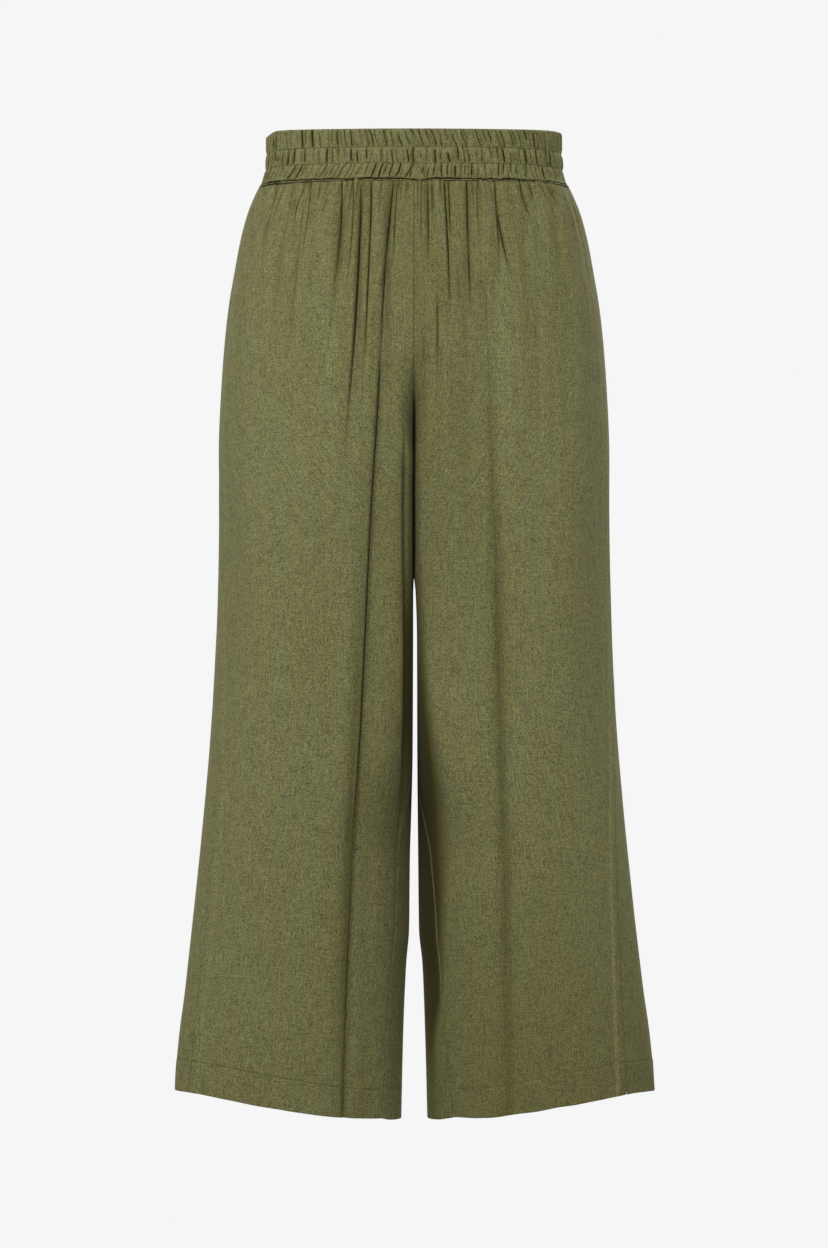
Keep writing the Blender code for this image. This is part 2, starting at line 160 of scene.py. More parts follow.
class Lamp(NamedTuple):
    """A soft square studio light: where it stands, the length of its sides and its power."""

    name: str
    place: tuple[float, float, float]
    size: float
    watts: float


class Lean(NamedTuple):
    """How far the ruche wrinkles lean to the right over a tunnel, at an angle round the waist."""

    degrees: float
    top: float
    middle: float
    bottom: float


@dataclass(frozen=True)
class Table:
    """Rows of numbers by height, read along smooth curves that never overshoot."""

    columns: tuple[str, ...]
    rows: tuple[tuple[float, ...], ...]

    def read(self, column: str, height: Array | float) -> Array:
        """Value of a column at some heights.

        Args:
            column: Name of the column.
            height: Heights in metres; past the table's ends its last values hold.

        Returns:
            The column's values there.
        """
        data = np.array(self.rows)[::-1]
        heights = data[:, 0]
        values = data[:, 1 + self.columns.index(column)]
        steps = np.diff(heights)
        slopes = np.diff(values) / steps
        tangents = np.zeros(len(values))
        same_way = slopes[:-1] * slopes[1:] > 0
        sums = np.where(same_way, slopes[:-1] + slopes[1:], 1.0)
        tangents[1:-1] = np.where(same_way, 2 * slopes[:-1] * slopes[1:] / sums, 0.0)
        tangents[0] = slopes[0]
        tangents[-1] = slopes[-1]
        height = np.clip(height, heights[0], heights[-1])
        cell = np.clip(np.searchsorted(heights, height, side="right") - 1, 0, len(steps) - 1)
        t = (height - heights[cell]) / steps[cell]
        rise = steps[cell]
        start = (1 + 2 * t) * (1 - t) ** 2 * values[cell] + t * (1 - t) ** 2 * rise * tangents[cell]
        end = t * t * (3 - 2 * t) * values[cell + 1] - t * t * (1 - t) * rise * tangents[cell + 1]
        return start + end


def ease(value: Array | float) -> Array:
    """Smooth step from 0 to 1 as the value goes from 0 to 1."""
    value = np.clip(value, 0.0, 1.0)
    return value * value * (3 - 2 * value)


def trough(offset: Array) -> Array:
    """Section of a soft crease: 1 at its line, falling off on both sides of it."""
    return 1.0 / (1.0 + offset**2) ** 2


def bell(offset: Array | float) -> Array:
    """Section of a smooth bump: 1 at its middle, falling off fast on both sides of it."""
    return np.exp(-(offset**2))


def unit(vectors: Array) -> Array:
    """The same vectors at length 1."""
    return vectors / np.maximum(np.linalg.norm(vectors, axis=-1, keepdims=True), 1e-12)


def running_length(points: Array, axis: int) -> Array:
    """Distance along a grid of points from its first row or column.

    Args:
        points: The points, with their coordinates along the last axis.
        axis: The axis to run along.

    Returns:
        The distance to each point, 0 at the first.
    """
    steps = np.linalg.norm(np.diff(points, axis=axis), axis=-1)
    run = np.cumsum(steps, axis=axis)
    return np.concatenate([np.zeros_like(np.take(run, [0], axis=axis)), run], axis=axis)


def add_object(name: str, data: bpy.types.ID) -> bpy.types.Object:
    """Make an object of a mesh, light or camera and link it to the scene, at the origin."""
    made = bpy.data.objects.new(name, data)
    bpy.context.scene.collection.objects.link(made)
    return made


def new_material(name: str) -> tuple[bpy.types.Material, NodeBook, bpy.types.Node]:
    """Start a node material.

    Args:
        name: Its name.

    Returns:
        The material, its nodes and its shader.
    """
    made = bpy.data.materials.new(name)
    made.use_nodes = True
    return made, NodeBook(made.node_tree), made.node_tree.nodes["Principled BSDF"]


def nearest_line(offsets: Array, strengths: Array) -> tuple[Array, Array]:
    """Signed distance to the nearest of several lines, and how strongly it is marked.

    Half way between two lines the mark fades out, so that no line shows where the nearest
    one changes.

    Args:
        offsets: Signed distances to each line, in metres, with the lines along the first axis.
        strengths: How strongly each line is marked there.

    Returns:
        Distances in millimetres and marks.
    """
    away = np.where(strengths > LINE_FAINTEST, np.abs(offsets), LINE_REACH)
    first = np.argmin(away, axis=0)[None]
    closest, second = np.partition(away, 1, axis=0)[:2]
    clear = ease((second - closest) / LINE_CLEARANCE)
    distance = np.take_along_axis(offsets, first, axis=0)[0]
    mark = np.take_along_axis(strengths, first, axis=0)[0] * clear
    return 1000 * np.clip(distance, -LINE_REACH, LINE_REACH), mark


@dataclass(frozen=True)
class Wander:
    """Smooth seeded noise over a surface, from a lattice of random heights."""

    seed: int
    cells: int = 64
    draws: int = 997
    channel_step: int = 977

    def at(self, u: Array, v: Array) -> Array:
        """Noise between about -1 and 1.

        Args:
            u: First coordinate, in lattice cells.
            v: Second coordinate, in lattice cells.

        Returns:
            The noise there.
        """
        lattice = np.random.default_rng(self.seed).uniform(-1.0, 1.0, (self.cells, self.cells))
        column = np.floor(u).astype(int)
        row = np.floor(v).astype(int)
        s = ease(u - column)
        t = ease(v - row)
        column, right = column % self.cells, (column + 1) % self.cells
        row, below = row % self.cells, (row + 1) % self.cells
        upper = lattice[row, column] * (1 - s) + lattice[row, right] * s
        lower = lattice[below, column] * (1 - s) + lattice[below, right] * s
        return upper * (1 - t) + lower * t

    def each(self, index: Array, channel: int) -> Array:
        """One random number between 0 and 1 for each whole index and channel."""
        chance = np.random.default_rng(self.seed + self.channel_step * channel)
        return chance.uniform(0.0, 1.0, self.draws)[np.asarray(index).astype(int) % self.draws]


@dataclass(frozen=True)
class GarmentForm:
    """The worn form that every piece lies on, worked out from the garment's sizes."""

    waist_seam: float = -0.0218
    hem_at_side: float = -0.8052
    hem_at_inseam: float = -0.8315
    crotch: float = -0.2410
    crotch_rise: float = 0.086
    crotch_lag: float = 0.070
    crotch_narrowing: float = 4.0
    body_corners: float = 0.050
    waist_corners: float = 0.025
    waist_corners_reach: float = 0.060
    leg_pinch: float = 0.09
    leg_corners: float = 0.085
    leg_corners_low: float = 0.030
    leg_upper: Ramp = Ramp(-0.75, 0.35)
    inner_corners: Table = Table(
        ("power",),
        (
            (-0.1400, 8.0),
            (-0.4300, 8.0),
            (-0.5100, 4.5),
            (-0.5700, 2.3),
            (-0.6000, 2.0),
            (-0.8400, 2.0),
        ),
    )
    column_share: float = 0.35
    row_lift_power: int = 5
    blend_length: float = 0.10
    blend_across: float = 0.22
    centre_dip: float = 0.0018
    centre_dip_x: float = 0.0035
    centre_dip_width: float = 0.0085
    outline: Table = Table(
        ("half_width",),
        (
            (-0.0218, 0.1345),
            (-0.0321, 0.1392),
            (-0.0430, 0.1436),
            (-0.0643, 0.1496),
            (-0.0974, 0.1559),
            (-0.1261, 0.1607),
            (-0.1609, 0.1645),
            (-0.2009, 0.1673),
            (-0.2496, 0.1693),
            (-0.3279, 0.1699),
            (-0.3827, 0.1712),
            (-0.4645, 0.1752),
            (-0.5298, 0.1797),
            (-0.6229, 0.1885),
            (-0.7186, 0.1993),
            (-0.7638, 0.2051),
            (-0.8003, 0.2082),
            (-0.8400, 0.2096),
        ),
    )
    body_depth: Table = Table(
        ("front", "back"),
        (
            (-0.0218, 0.0940, 0.0976),
            (-0.0430, 0.1012, 0.1080),
            (-0.0974, 0.1105, 0.1230),
            (-0.1400, 0.1150, 0.1310),
            (-0.1800, 0.1165, 0.1345),
            (-0.2496, 0.1160, 0.1320),
            (-0.3200, 0.1130, 0.1270),
        ),
    )
    leg_depth: Table = Table(
        ("front", "back"),
        (
            (-0.1400, 0.1080, 0.1230),
            (-0.2496, 0.1075, 0.1210),
            (-0.3600, 0.1010, 0.1090),
            (-0.4645, 0.0925, 0.0950),
            (-0.6229, 0.0800, 0.0760),
            (-0.7186, 0.0735, 0.0670),
            (-0.8400, 0.0680, 0.0590),
        ),
    )
    left_leg: Table = Table(
        ("inner", "inseam_turn", "side_turn"),
        (
            (-0.1400, 0.0000, 0.0, 0.0),
            (-0.2410, -0.0003, 0.0, 3.0),
            (-0.2800, -0.0003, 14.0, 8.0),
            (-0.3560, -0.0003, 20.0, 14.0),
            (-0.3700, 0.0006, 20.6, 15.0),
            (-0.4149, 0.0007, 22.0, 18.0),
            (-0.5089, 0.0011, 25.0, 26.0),
            (-0.6064, 0.0034, 28.0, 29.0),
            (-0.6663, 0.0042, 29.0, 30.0),
            (-0.6960, 0.0067, 30.0, 30.0),
            (-0.7560, 0.0093, 31.0, 31.0),
            (-0.8400, 0.0112, 34.0, 31.0),
        ),
    )
    right_leg: Table = Table(
        ("inner", "inseam_turn", "side_turn"),
        (
            (-0.1400, 0.0000, 0.0, 0.0),
            (-0.2410, -0.0003, 0.0, 3.0),
            (-0.2800, -0.0003, 3.0, 6.0),
            (-0.3560, -0.0003, 4.0, 9.0),
            (-0.3700, 0.0012, 4.2, 9.6),
            (-0.4149, 0.0026, 5.0, 12.0),
            (-0.5089, 0.0028, 14.0, 20.0),
            (-0.6064, 0.0036, 29.0, 30.0),
            (-0.6663, 0.0043, 33.0, 34.0),
            (-0.6960, 0.0073, 33.0, 36.0),
            (-0.7560, 0.0096, 34.0, 40.0),
            (-0.8400, 0.0118, 40.0, 43.0),
        ),
    )

    @property
    def length(self) -> float:
        """Height from the waist seam to the hem at the side seam."""
        return self.waist_seam - self.hem_at_side

    @property
    def crotch_down(self) -> float:
        """Place of the crotch's row, as a share of the way down."""
        return (self.waist_seam - self.crotch + self.crotch_lag) / self.length

    @property
    def curve_down(self) -> float:
        """Place of the row where the centre seams start to curve in."""
        return (self.waist_seam - self.crotch - self.crotch_rise) / self.length

    def body_share(self, across: Array) -> Array:
        """Sideways place on the body, 0 at the centre seam and 1 at the side seam."""
        even = (1 - np.cos(math.pi * across)) / 2
        return (1 - self.column_share) * even + self.column_share * across

    def dip(self, x: Array) -> Array:
        """How far the waist seam dips at the centre front, at a place in X."""
        return self.centre_dip * bell((x - self.centre_dip_x) / self.centre_dip_width)

    def centre_line(self, down: Array) -> tuple[Array, Array]:
        """The centre seam and inseam.

        Args:
            down: Places down the seam.

        Returns:
            Its heights, and how far the body is still one tube there, from 1 to 0.
        """
        curve = (down - self.curve_down) / (self.crotch_down - self.curve_down)
        curve = np.clip(curve, 0.0, 1.0) * math.pi / 2
        leg = np.clip((down - self.crotch_down) / (1 - self.crotch_down), 0.0, 1.0)
        fall = self.crotch + self.crotch_rise - self.waist_seam
        straight = self.waist_seam + fall * np.clip(down / self.curve_down, 0.0, 1.0)
        curved = straight - self.crotch_rise * np.sin(curve)
        return curved + (self.hem_at_inseam - self.crotch) * leg, np.cos(curve)

    def leg(self, side: Side) -> Table:
        """Inner edge and seam turns of one leg."""
        return self.right_leg if side is Side.RIGHT else self.left_leg

    def smooth(self, side: Side, face: Face, across: Array, down: Array) -> Array:
        """Points of the cloth before it is folded.

        Args:
            side: Which leg.
            face: Front or back.
            across: Places across the panel.
            down: Places down the panel.

        Returns:
            The points, in an array with a last axis of 3.
        """
        sign = face.value
        leg = self.leg(side)
        centre_height, whole = self.centre_line(down)
        low = self.hem_at_inseam - self.hem_at_side
        tilt = low * ease((down - self.crotch_down) / (1 - self.crotch_down))
        level = self.waist_seam - self.length * down
        blend_end = self.crotch_down + self.blend_length
        gradual = 1 - ease((down - self.curve_down) / (blend_end - self.curve_down))
        whole = whole + (gradual - whole) * ease(across / self.blend_across)
        lift = (centre_height - level - tilt) * (1 - across) ** self.row_lift_power
        height = level + tilt * (1 + np.cos(math.pi * across)) / 2 + lift

        half_width = self.outline.read("half_width", height)
        side_turn = np.radians(leg.read("side_turn", height))
        quarter = math.pi / 2 + sign * side_turn
        share = np.arcsin(np.clip(self.body_share(across), 0.0, 1.0)) / (math.pi / 2)
        angle = share * quarter
        near_waist = ease((height - self.waist_seam) / self.waist_corners_reach + 1)
        corners = self.body_corners + self.waist_corners * near_waist
        corners = 1 + corners * np.sin(2 * angle) ** 2
        back = self.body_depth.read("back", height)
        front = self.body_depth.read("front", height)
        depth = np.where(np.cos(angle) * sign > 0, back, front)
        body_x = np.minimum(half_width * np.sin(angle) * corners, half_width)
        body_y = sign * depth * np.cos(angle) * corners

        inner = leg.read("inner", height)
        first = -sign * np.radians(leg.read("inseam_turn", height))
        turn = first + (math.pi + sign * side_turn - first) * across
        back = self.leg_depth.read("back", height)
        front = self.leg_depth.read("front", height)
        depth = np.where(np.sin(turn) * sign > 0, back, front)
        extra = self.leg_corners - self.leg_corners_low
        squarer = self.leg_corners_low + extra * self.leg_upper.at(height)
        squarer = 1 + squarer * np.sin(2 * turn) ** 2
        power = self.inner_corners.read("power", height)
        boxed = (np.abs(np.cos(turn)) ** power + np.abs(np.sin(turn)) ** power) ** (-1 / power)
        inward = np.cos(turn) > 0
        boxed = np.where(inward, boxed, 1.0)
        leg_x = (half_width + inner) / 2 - (half_width - inner) / 2 * np.cos(turn) * boxed
        leg_y = sign * depth * np.sin(turn) * (1 - self.leg_pinch * np.cos(turn) ** 2)
        leg_y = leg_y * np.where(inward, boxed, squarer)

        sideways = whole**self.crotch_narrowing
        x = sideways * body_x + (1 - sideways) * leg_x
        y = whole * body_y + (1 - whole) * leg_y
        return np.stack([side.value * x, y, height + 0 * x], axis=-1)

    def outward(self, side: Side, face: Face, across: Array, down: Array) -> Array:
        """Unit normals of the unfolded cloth, pointing out of the garment.

        Args:
            side: Which leg.
            face: Front or back.
            across: Places across the panel.
            down: Places down the panel.

        Returns:
            The normals, in an array with a last axis of 3.
        """
        tiny = 1e-4
        before = self.smooth(side, face, np.maximum(across - tiny, 0.0), down)
        after = self.smooth(side, face, np.minimum(across + tiny, 1.0), down)
        above = self.smooth(side, face, across, np.maximum(down - tiny, 0.0))
        below = self.smooth(side, face, across, np.minimum(down + tiny, 1.0))
        return unit(side.value * face.value * np.cross(after - before, below - above))


@dataclass
class Shell:
    """A closed thin shell of cloth: grids of outer and inner points, and their weave places.

    A ring closes on itself in its columns. The last outer row is also the last inner one,
    where the cloth is folded round; a ring is folded round at its first row as well.
    """

    outer: Array
    inner: Array
    weave: Array
    marks: dict[str, Array]
    ring: bool = False
    girth: float = 0.0

    def corners(self) -> tuple[Array, Array, Array]:
        """Vertex numbers of the faces and the grid places their corners come from.

        Returns:
            Faces as an array of four vertex numbers, and the row and the column of each corner.
        """
        rows, columns = self.outer.shape[:2]
        inner_rows = self.inner.shape[0]
        span = columns if self.ring else columns - 1
        r, c = np.meshgrid(np.arange(rows - 1), np.arange(span), indexing="ij")
        outer_faces = self._quads(r, c)
        outer_number = outer_faces[..., 0] * columns + outer_faces[..., 1] % columns
        r, c = np.meshgrid(np.arange(inner_rows), np.arange(span), indexing="ij")
        inner_faces = self._quads(r, c)[:, ::-1]
        row = inner_faces[..., 0]
        column = inner_faces[..., 1] % columns
        inner_number = rows * columns + row * columns + column
        inner_number = np.where(row >= inner_rows, (rows - 1) * columns + column, inner_number)
        c = np.arange(span)
        zero = np.zeros_like(c)
        low, high = c % columns, (c + 1) % columns
        base = rows * columns
        rim = np.stack([high, low, base + low, base + high], axis=-1)
        rim_places = np.stack([np.stack([zero, p], -1) for p in (c + 1, c, c, c + 1)], axis=1)
        faces = [outer_number, inner_number, rim]
        places = [outer_faces, inner_faces, rim_places]
        if not self.ring:
            for edge, turned in ((0, False), (columns - 1, True)):
                number, place = self._rim_side(rows, columns, edge, turned)
                faces.append(number)
                places.append(place)
        place = np.concatenate(places)
        return np.concatenate(faces), place[..., 0], place[..., 1]

    @staticmethod
    def _quads(r: Array, c: Array) -> Array:
        """Grid places of the corners of each quad, as an array of faces, corners and (row, column)."""
        corners = [(r, c), (r + 1, c), (r + 1, c + 1), (r, c + 1)]
        return np.stack([np.stack(p, axis=-1).reshape(-1, 2) for p in corners], axis=1)

    @staticmethod
    def _rim_side(rows: int, columns: int, edge: int, turned: bool) -> tuple[Array, Array]:
        """Faces that close one side of an open shell.

        Args:
            rows: Number of outer rows.
            columns: Number of columns.
            edge: The column along that side.
            turned: Whether the faces run the other way round.

        Returns:
            Vertex numbers of the faces, and the grid places of their corners.
        """
        r = np.arange(rows - 1)
        base = rows * columns
        upper_in = base + r * columns + edge
        last = (rows - 1) * columns + edge
        lower_in = np.where(r + 1 < rows - 1, base + (r + 1) * columns + edge, last)
        number = np.stack([r * columns + edge, upper_in, lower_in, (r + 1) * columns + edge], axis=-1)
        column = np.full_like(r, edge)
        place = np.stack([np.stack([p, column], -1) for p in (r, r, r + 1, r + 1)], axis=1)
        if turned:
            number, place = number[:, ::-1], place[:, ::-1]
        return number, place

    def to_object(self, name: str, flip: bool) -> bpy.types.Object:
        """Make the shell a smooth-shaded mesh object with its weave map and its painted shade marks.

        Args:
            name: Name of the piece.
            flip: Whether the faces have to be turned round to point outwards.

        Returns:
            The new object, at the origin.
        """
        columns = self.outer.shape[1]
        points = np.concatenate([self.outer.reshape(-1, 3), self.inner.reshape(-1, 3)])
        faces, row, column = self.corners()
        if flip:
            faces, row, column = faces[:, ::-1], row[:, ::-1], column[:, ::-1]
        row = np.minimum(row, self.weave.shape[0] - 1)
        uv = self.weave[row, column % columns].copy()
        if self.ring:
            uv[..., 0] += np.where(column >= columns, self.girth, 0.0)
        mesh = bpy.data.meshes.new(name)
        mesh.from_pydata(points.tolist(), [], faces.tolist())
        layer = mesh.uv_layers.new(name="weave")
        layer.data.foreach_set("uv", uv.reshape(-1).astype(np.float32))
        for key, rows in self.marks.items():
            values = np.concatenate([rows.reshape(-1), np.zeros(self.inner[..., 0].size)])
            attribute = mesh.attributes.new(key, "FLOAT", "POINT")
            attribute.data.foreach_set("value", values.astype(np.float32))
        mesh.shade_smooth()
        mesh.validate()
        return add_object(name, mesh)


@dataclass(frozen=True)
class InnerTurn:
    """How a leg's cloth turns in beside the inseam: a folded line, and the shade within it."""

    rows: Table
    slit: Ramp = Ramp(0.0006, 0.0020)
    line_width: float = 0.0016
    sunk: float = 0.0022
    sunk_width: float = 0.0022

    def shade(self, x: Array, height: Array) -> Array:
        """Shade of the cloth that is turned in between the legs.

        Args:
            x: Distances from the garment's middle.
            height: Heights.

        Returns:
            How shaded it is, from 0 to 2.
        """
        edge = self.rows.read("edge", height)
        ramp = self.rows.read("ramp", height)
        line = self.rows.read("line", height)
        within = self.rows.read("within", height) * (1 - ease((x - edge) / ramp))
        slit = self.rows.read("slit", height) * (1 - self.slit.at(x))
        return np.maximum(np.maximum(within, slit), line * trough((x - edge) / self.line_width))

    def lowered(self, x: Array, height: Array) -> Array:
        """How far the folded line lies below the cloth beside it."""
        edge = self.rows.read("edge", height)
        return self.sunk * self.rows.read("line", height) * trough((x - edge) / self.sunk_width)


# Painted light of each leg: the right leg's foot gets more painted shade, and its side seam ridge a
# stronger painted highlight.
LEG_PAINTED_LIGHT = {
    Side.LEFT: LegPaintedLight(0.17, Ramp(-0.48, -0.30), 0.35),
    Side.RIGHT: LegPaintedLight(0.44, Ramp(-0.34, -0.16), 1.0),
}
LEFT_TURN = InnerTurn(
    Table(
        ("edge", "ramp", "within", "line", "slit"),
        (
            (-0.2000, 0.0077, 0.0015, 0.00, 0.00, 0.00),
            (-0.2356, 0.0077, 0.0015, 0.00, 0.40, 0.50),
            (-0.2612, 0.0078, 0.0015, 0.05, 1.20, 0.90),
            (-0.2953, 0.0080, 0.0015, 0.10, 1.35, 1.30),
            (-0.3464, 0.0078, 0.0015, 0.45, 1.40, 1.50),
            (-0.3805, 0.0072, 0.0015, 1.00, 1.45, 0.90),
            (-0.4232, 0.0070, 0.0015, 1.40, 1.45, 1.10),
            (-0.4658, 0.0074, 0.0015, 1.45, 1.45, 1.10),
            (-0.5084, 0.0084, 0.0015, 1.15, 1.35, 0.80),
            (-0.5511, 0.0103, 0.0020, 0.70, 1.15, 0.50),
            (-0.5724, 0.0122, 0.0030, 0.45, 0.75, 0.40),
            (-0.5937, 0.0145, 0.0050, 0.35, 0.30, 0.30),
            (-0.6363, 0.0190, 0.0080, 0.25, 0.00, 0.30),
            (-0.8400, 0.0240, 0.0080, 0.20, 0.00, 0.20),
        ),
    )
)
RIGHT_TURN = InnerTurn(
    Table(
        ("edge", "ramp", "within", "line", "slit"),
        (
            (-0.2000, 0.0026, 0.0100, 0.00, 0.00, 0.00),
            (-0.2271, 0.0034, 0.0060, 0.25, 0.00, 0.40),
            (-0.2612, 0.0024, 0.0050, 0.35, 0.00, 0.90),
            (-0.3464, 0.0026, 0.0070, 0.60, 0.00, 1.50),
            (-0.3805, 0.0030, 0.0075, 0.75, 0.00, 0.90),
            (-0.4232, 0.0040, 0.0100, 0.95, 0.00, 0.60),
            (-0.4658, 0.0045, 0.0140, 1.35, 0.00, 0.80),
            (-0.5084, 0.0060, 0.0210, 1.55, 0.00, 0.80),
            (-0.5511, 0.0085, 0.0250, 1.70, 0.00, 0.80),
            (-0.5937, 0.0100, 0.0270, 1.70, 0.00, 0.80),
            (-0.6363, 0.0150, 0.0190, 1.65, 0.00, 0.80),
            (-0.6789, 0.0160, 0.0170, 1.55, 0.40, 0.50),
            (-0.7216, 0.0190, 0.0100, 1.40, 0.30, 0.50),
            (-0.7642, 0.0150, 0.0080, 1.10, 0.30, 0.30),
            (-0.8068, 0.0165, 0.0070, 0.75, 0.00, 0.30),
            (-0.8400, 0.0165, 0.0070, 0.70, 0.00, 0.30),
        ),
    )
)


HEM_TRIM = Table(
    ("left", "right"),
    (
        (0.2100, 0.0000, 0.0000),
        (0.1910, -0.0009, -0.0009),
        (0.1740, -0.0015, -0.0026),
        (0.1570, -0.0017, -0.0034),
        (0.1400, -0.0017, -0.0032),
        (0.1228, -0.0008, -0.0017),
        (0.1057, 0.0000, -0.0009),
        (0.0887, 0.0009, 0.0009),
        (0.0716, 0.0017, 0.0017),
        (0.0546, 0.0026, 0.0034),
        (0.0375, 0.0034, 0.0050),
        (0.0290, 0.0034, 0.0034),
        (0.0205, 0.0014, 0.0014),
        (0.0120, 0.0006, 0.0006),
        (0.0050, 0.0010, 0.0010),
    ),
)


@dataclass(frozen=True)
class Places:
    """Where the points of a panel's mesh lie on the unfolded cloth.

    ``x`` is the distance from the garment's middle, ``arc`` and ``from_side`` the distances
    along the cloth from its inner side and its side seam, and ``below`` that to the hem's edge.
    ``calm`` falls to 0 at the panel's sides, and ``before`` from 1 at the front to 0 at the back.
    """

    across: Array
    down: Array
    base: Array
    normal: Array
    x: Array
    height: Array
    arc: Array
    from_side: Array
    below: Array
    calm: Array
    before: Array


@dataclass
class LegPanel:
    """One of the four leg panels: a fine shell on the worn form, with its folds and hem."""

    form: GarmentForm
    side: Side
    face: Face
    folds: tuple[Fold, ...]
    creases: tuple[Fold, ...]
    gathers: Gathers
    seed: int
    cloth: float = 0.0006
    hem_wall: float = 0.0016
    hem_depth: float = 0.028
    hem_step_from: float = 0.0002
    hem_step: float = 0.0007
    hem_stitch: float = 0.0272
    stitch_groove: float = 0.00035
    groove_width: float = 0.0007
    hem_puckers: Ripple = Ripple(4, 0.0045, 0.02, 0.00022)
    hem_pucker_reach: float = 0.006
    hem_proud: float = 0.00030
    hem_proud_edge: float = 0.0008
    hem_twist: Ripple = Ripple(6, 0.011, 0.05, 0.00035)
    twist_slant: float = 0.03
    twist_edge: float = 0.004
    gather_depth: float = 0.0024
    gather_at_seam: float = 0.45
    sewn_depth: float = 0.0011
    sewn_swell: float = 0.030
    sewn_reach: float = 0.045
    gather_swell: float = 0.020
    gather_fade: float = 0.115
    gather_hold: float = 0.2
    gather_drift: float = 0.22
    gather_drifts: float = 9.0
    gather_sizes: Span = Span(0.45, 0.75)
    gather_reaches: Span = Span(0.55, 0.75)
    gather_powers: Span = Span(2.0, 2.5)
    puckers: tuple[tuple[float, int], ...] = ((3.1, 4), (4.7, 7))
    pucker_drift: float = 0.6
    pucker_drifts: float = 13.0
    pucker_reaches: Span = Span(0.008, 0.050)
    pucker_swell: Span = Span(0.7, 0.3)
    pucker_start: float = 0.004
    pucker_sizes: Span = Span(0.0003, 0.0012)
    pucker_power: int = 6
    painted_pucker_shade: float = 0.75
    full_pucker: float = 0.0015
    edge_calm: float = 0.05
    fold_spread: float = 0.5
    fold_run_in: float = 0.04
    fold_at_start: float = 0.35
    fold_run_out: float = 0.45
    fold_core: float = 0.35
    broad_fold: float = 0.02
    core_width: float = 0.0030
    sharp_width: float = 0.0018
    crease_run_in: float = 0.02
    crease_at_start: float = 0.5
    crease_run_out: float = 0.60
    crease_reach: float = 0.0034
    crease_crowding: float = 6.0
    crowding_rounds: int = 14
    crowding_length: float = 0.070
    crowding_at_top: float = 2.2
    crowding_loss: float = 1.2
    crowding_spread: float = 1.5
    fold_crowding: float = 1.6
    edge_crowding: float = 2.5
    edge_spread: float = 0.02
    lap_reach: float = 0.0075
    full_shade: float = 0.0026
    crease_relief: float = 0.75
    painted_crease_shade: float = 0.42
    most_painted_crease_shade: float = 1.9
    crease_mark: float = 1.5
    seam_roll: float = 0.0011
    seam_sink: float = 0.0009
    seam_ridge: float = 0.0006
    inner_ridge: float = 0.35
    allowance: Bump = Bump(0.0060, 0.0034)
    seam_hold: float = 0.0025
    # Painted shade along the hem's stitching, and painted shade that darkens the legs towards the hem.
    hem_shade: float = 0.75
    painted_foot_shade: Ramp = Ramp(-0.48, -0.40)
    crumples: tuple[Ripple, ...] = (
        Ripple(1, 0.022, 0.16, 0.00045),
        Ripple(2, 0.050, 0.30, 0.0009),
        Ripple(3, 0.009, 0.030, 0.00010),
    )
    fine_pleats: Ripple = Ripple(5, 0.0042, 0.11, 0.00040)
    pleats_left: Span = Span(0.25, 0.75)
    pleated: Ramp = Ramp(-0.42, 0.22)
    # Painted shade and light near the waist: uneven streaks between the small pleats, and painted shade
    # under the gathers and down the middle.
    painted_pleat_shade: Ripple = Ripple(7, 0.0052, 0.20, 0.15)
    near_waist: Ramp = Ramp(-0.36, 0.22)
    gathered_shade: float = 0.14
    gathered: Ramp = Ramp(-0.20, 0.12)
    middle_shade: float = 0.24
    middle_width: float = 0.050
    # Painted highlight along the ridge beside the side seam.
    ridge: Bump = Bump(0.0105, 0.0017)
    painted_ridge_highlight: float = 0.6
    ridge_rows: Ramp = Ramp(-0.36, -0.05)
    tuck: float = 0.0012
    front: Ramp = Ramp(0.012, -0.024)
    turn_start: float = 0.006
    top_sink: float = 0.0008
    top_sink_reach: float = 0.0016
    near_middle: Ramp = Ramp(0.0045, -0.003)
    touching: Ramp = Ramp(-0.3620, 0.02)
    trim_foot: Ramp = Ramp(0.060, -0.060)
    trim_front: Ramp = Ramp(0.010, -0.030)
    dip_reach: float = 0.030
    # Less painted shade along the inseam's edge, where it catches light.
    rim_pale: float = 0.75
    rim: Bump = Bump(0.0008, 0.0006)
    stitch_shade_width: float = 0.0006
    weave_step: float = 0.37
    columns: int = 255
    trial_columns: int = 501
    top_length: float = 0.115
    top_rows: int = 50
    top_crowding: float = 1.35
    middle_rows: int = 104
    hem_rows: tuple[float, ...] = (
        *(34, 31, 29.6, 28.9, 28.4, 28.0, 27.6, 27.2, 26.8, 26.4, 26.0, 25.4, 24.2),
        *(21.5, 17.5, 13, 9, 6, 4, 2.6, 1.7, 1.1, 0.65, 0.32, 0.12, 0.0),
    )
    stitch_line: tuple[Array, Array] | None = field(default=None, repr=False)

    @property
    def name(self) -> str:
        """Name of the panel's CAD node."""
        return f"{self.face.name}_{self.side.name}".lower()

    @property
    def turn(self) -> InnerTurn:
        """How this leg's cloth turns in beside the inseam."""
        return RIGHT_TURN if self.side is Side.RIGHT else LEFT_TURN

    def rows(self) -> Array:
        """Places of the mesh rows, closer together under the waist seam and at the hem.

        Returns:
            Shares of the way down, from 0 to 1.
        """
        length = self.form.length
        top = self.top_length * np.linspace(0.0, 1.0, self.top_rows) ** self.top_crowding
        hem = length - np.array(self.hem_rows) / 1000
        middle = np.linspace(top[-1], hem[0], self.middle_rows + 2)[1:-1]
        return np.concatenate([top, middle, hem]) / length

    def fold_line(self, fold: Fold, along: Array) -> Array:
        """Distance of a fold's line from the garment's middle, on a curve through 3 points.

        Args:
            fold: The fold.
            along: Places along it, from 0 to 1.

        Returns:
            The distances.
        """
        first = 4 * fold.x_middle - 3 * fold.x_top - fold.x_foot
        second = 2 * (fold.x_top - 2 * fold.x_middle + fold.x_foot)
        return fold.x_top + first * along + second * along**2

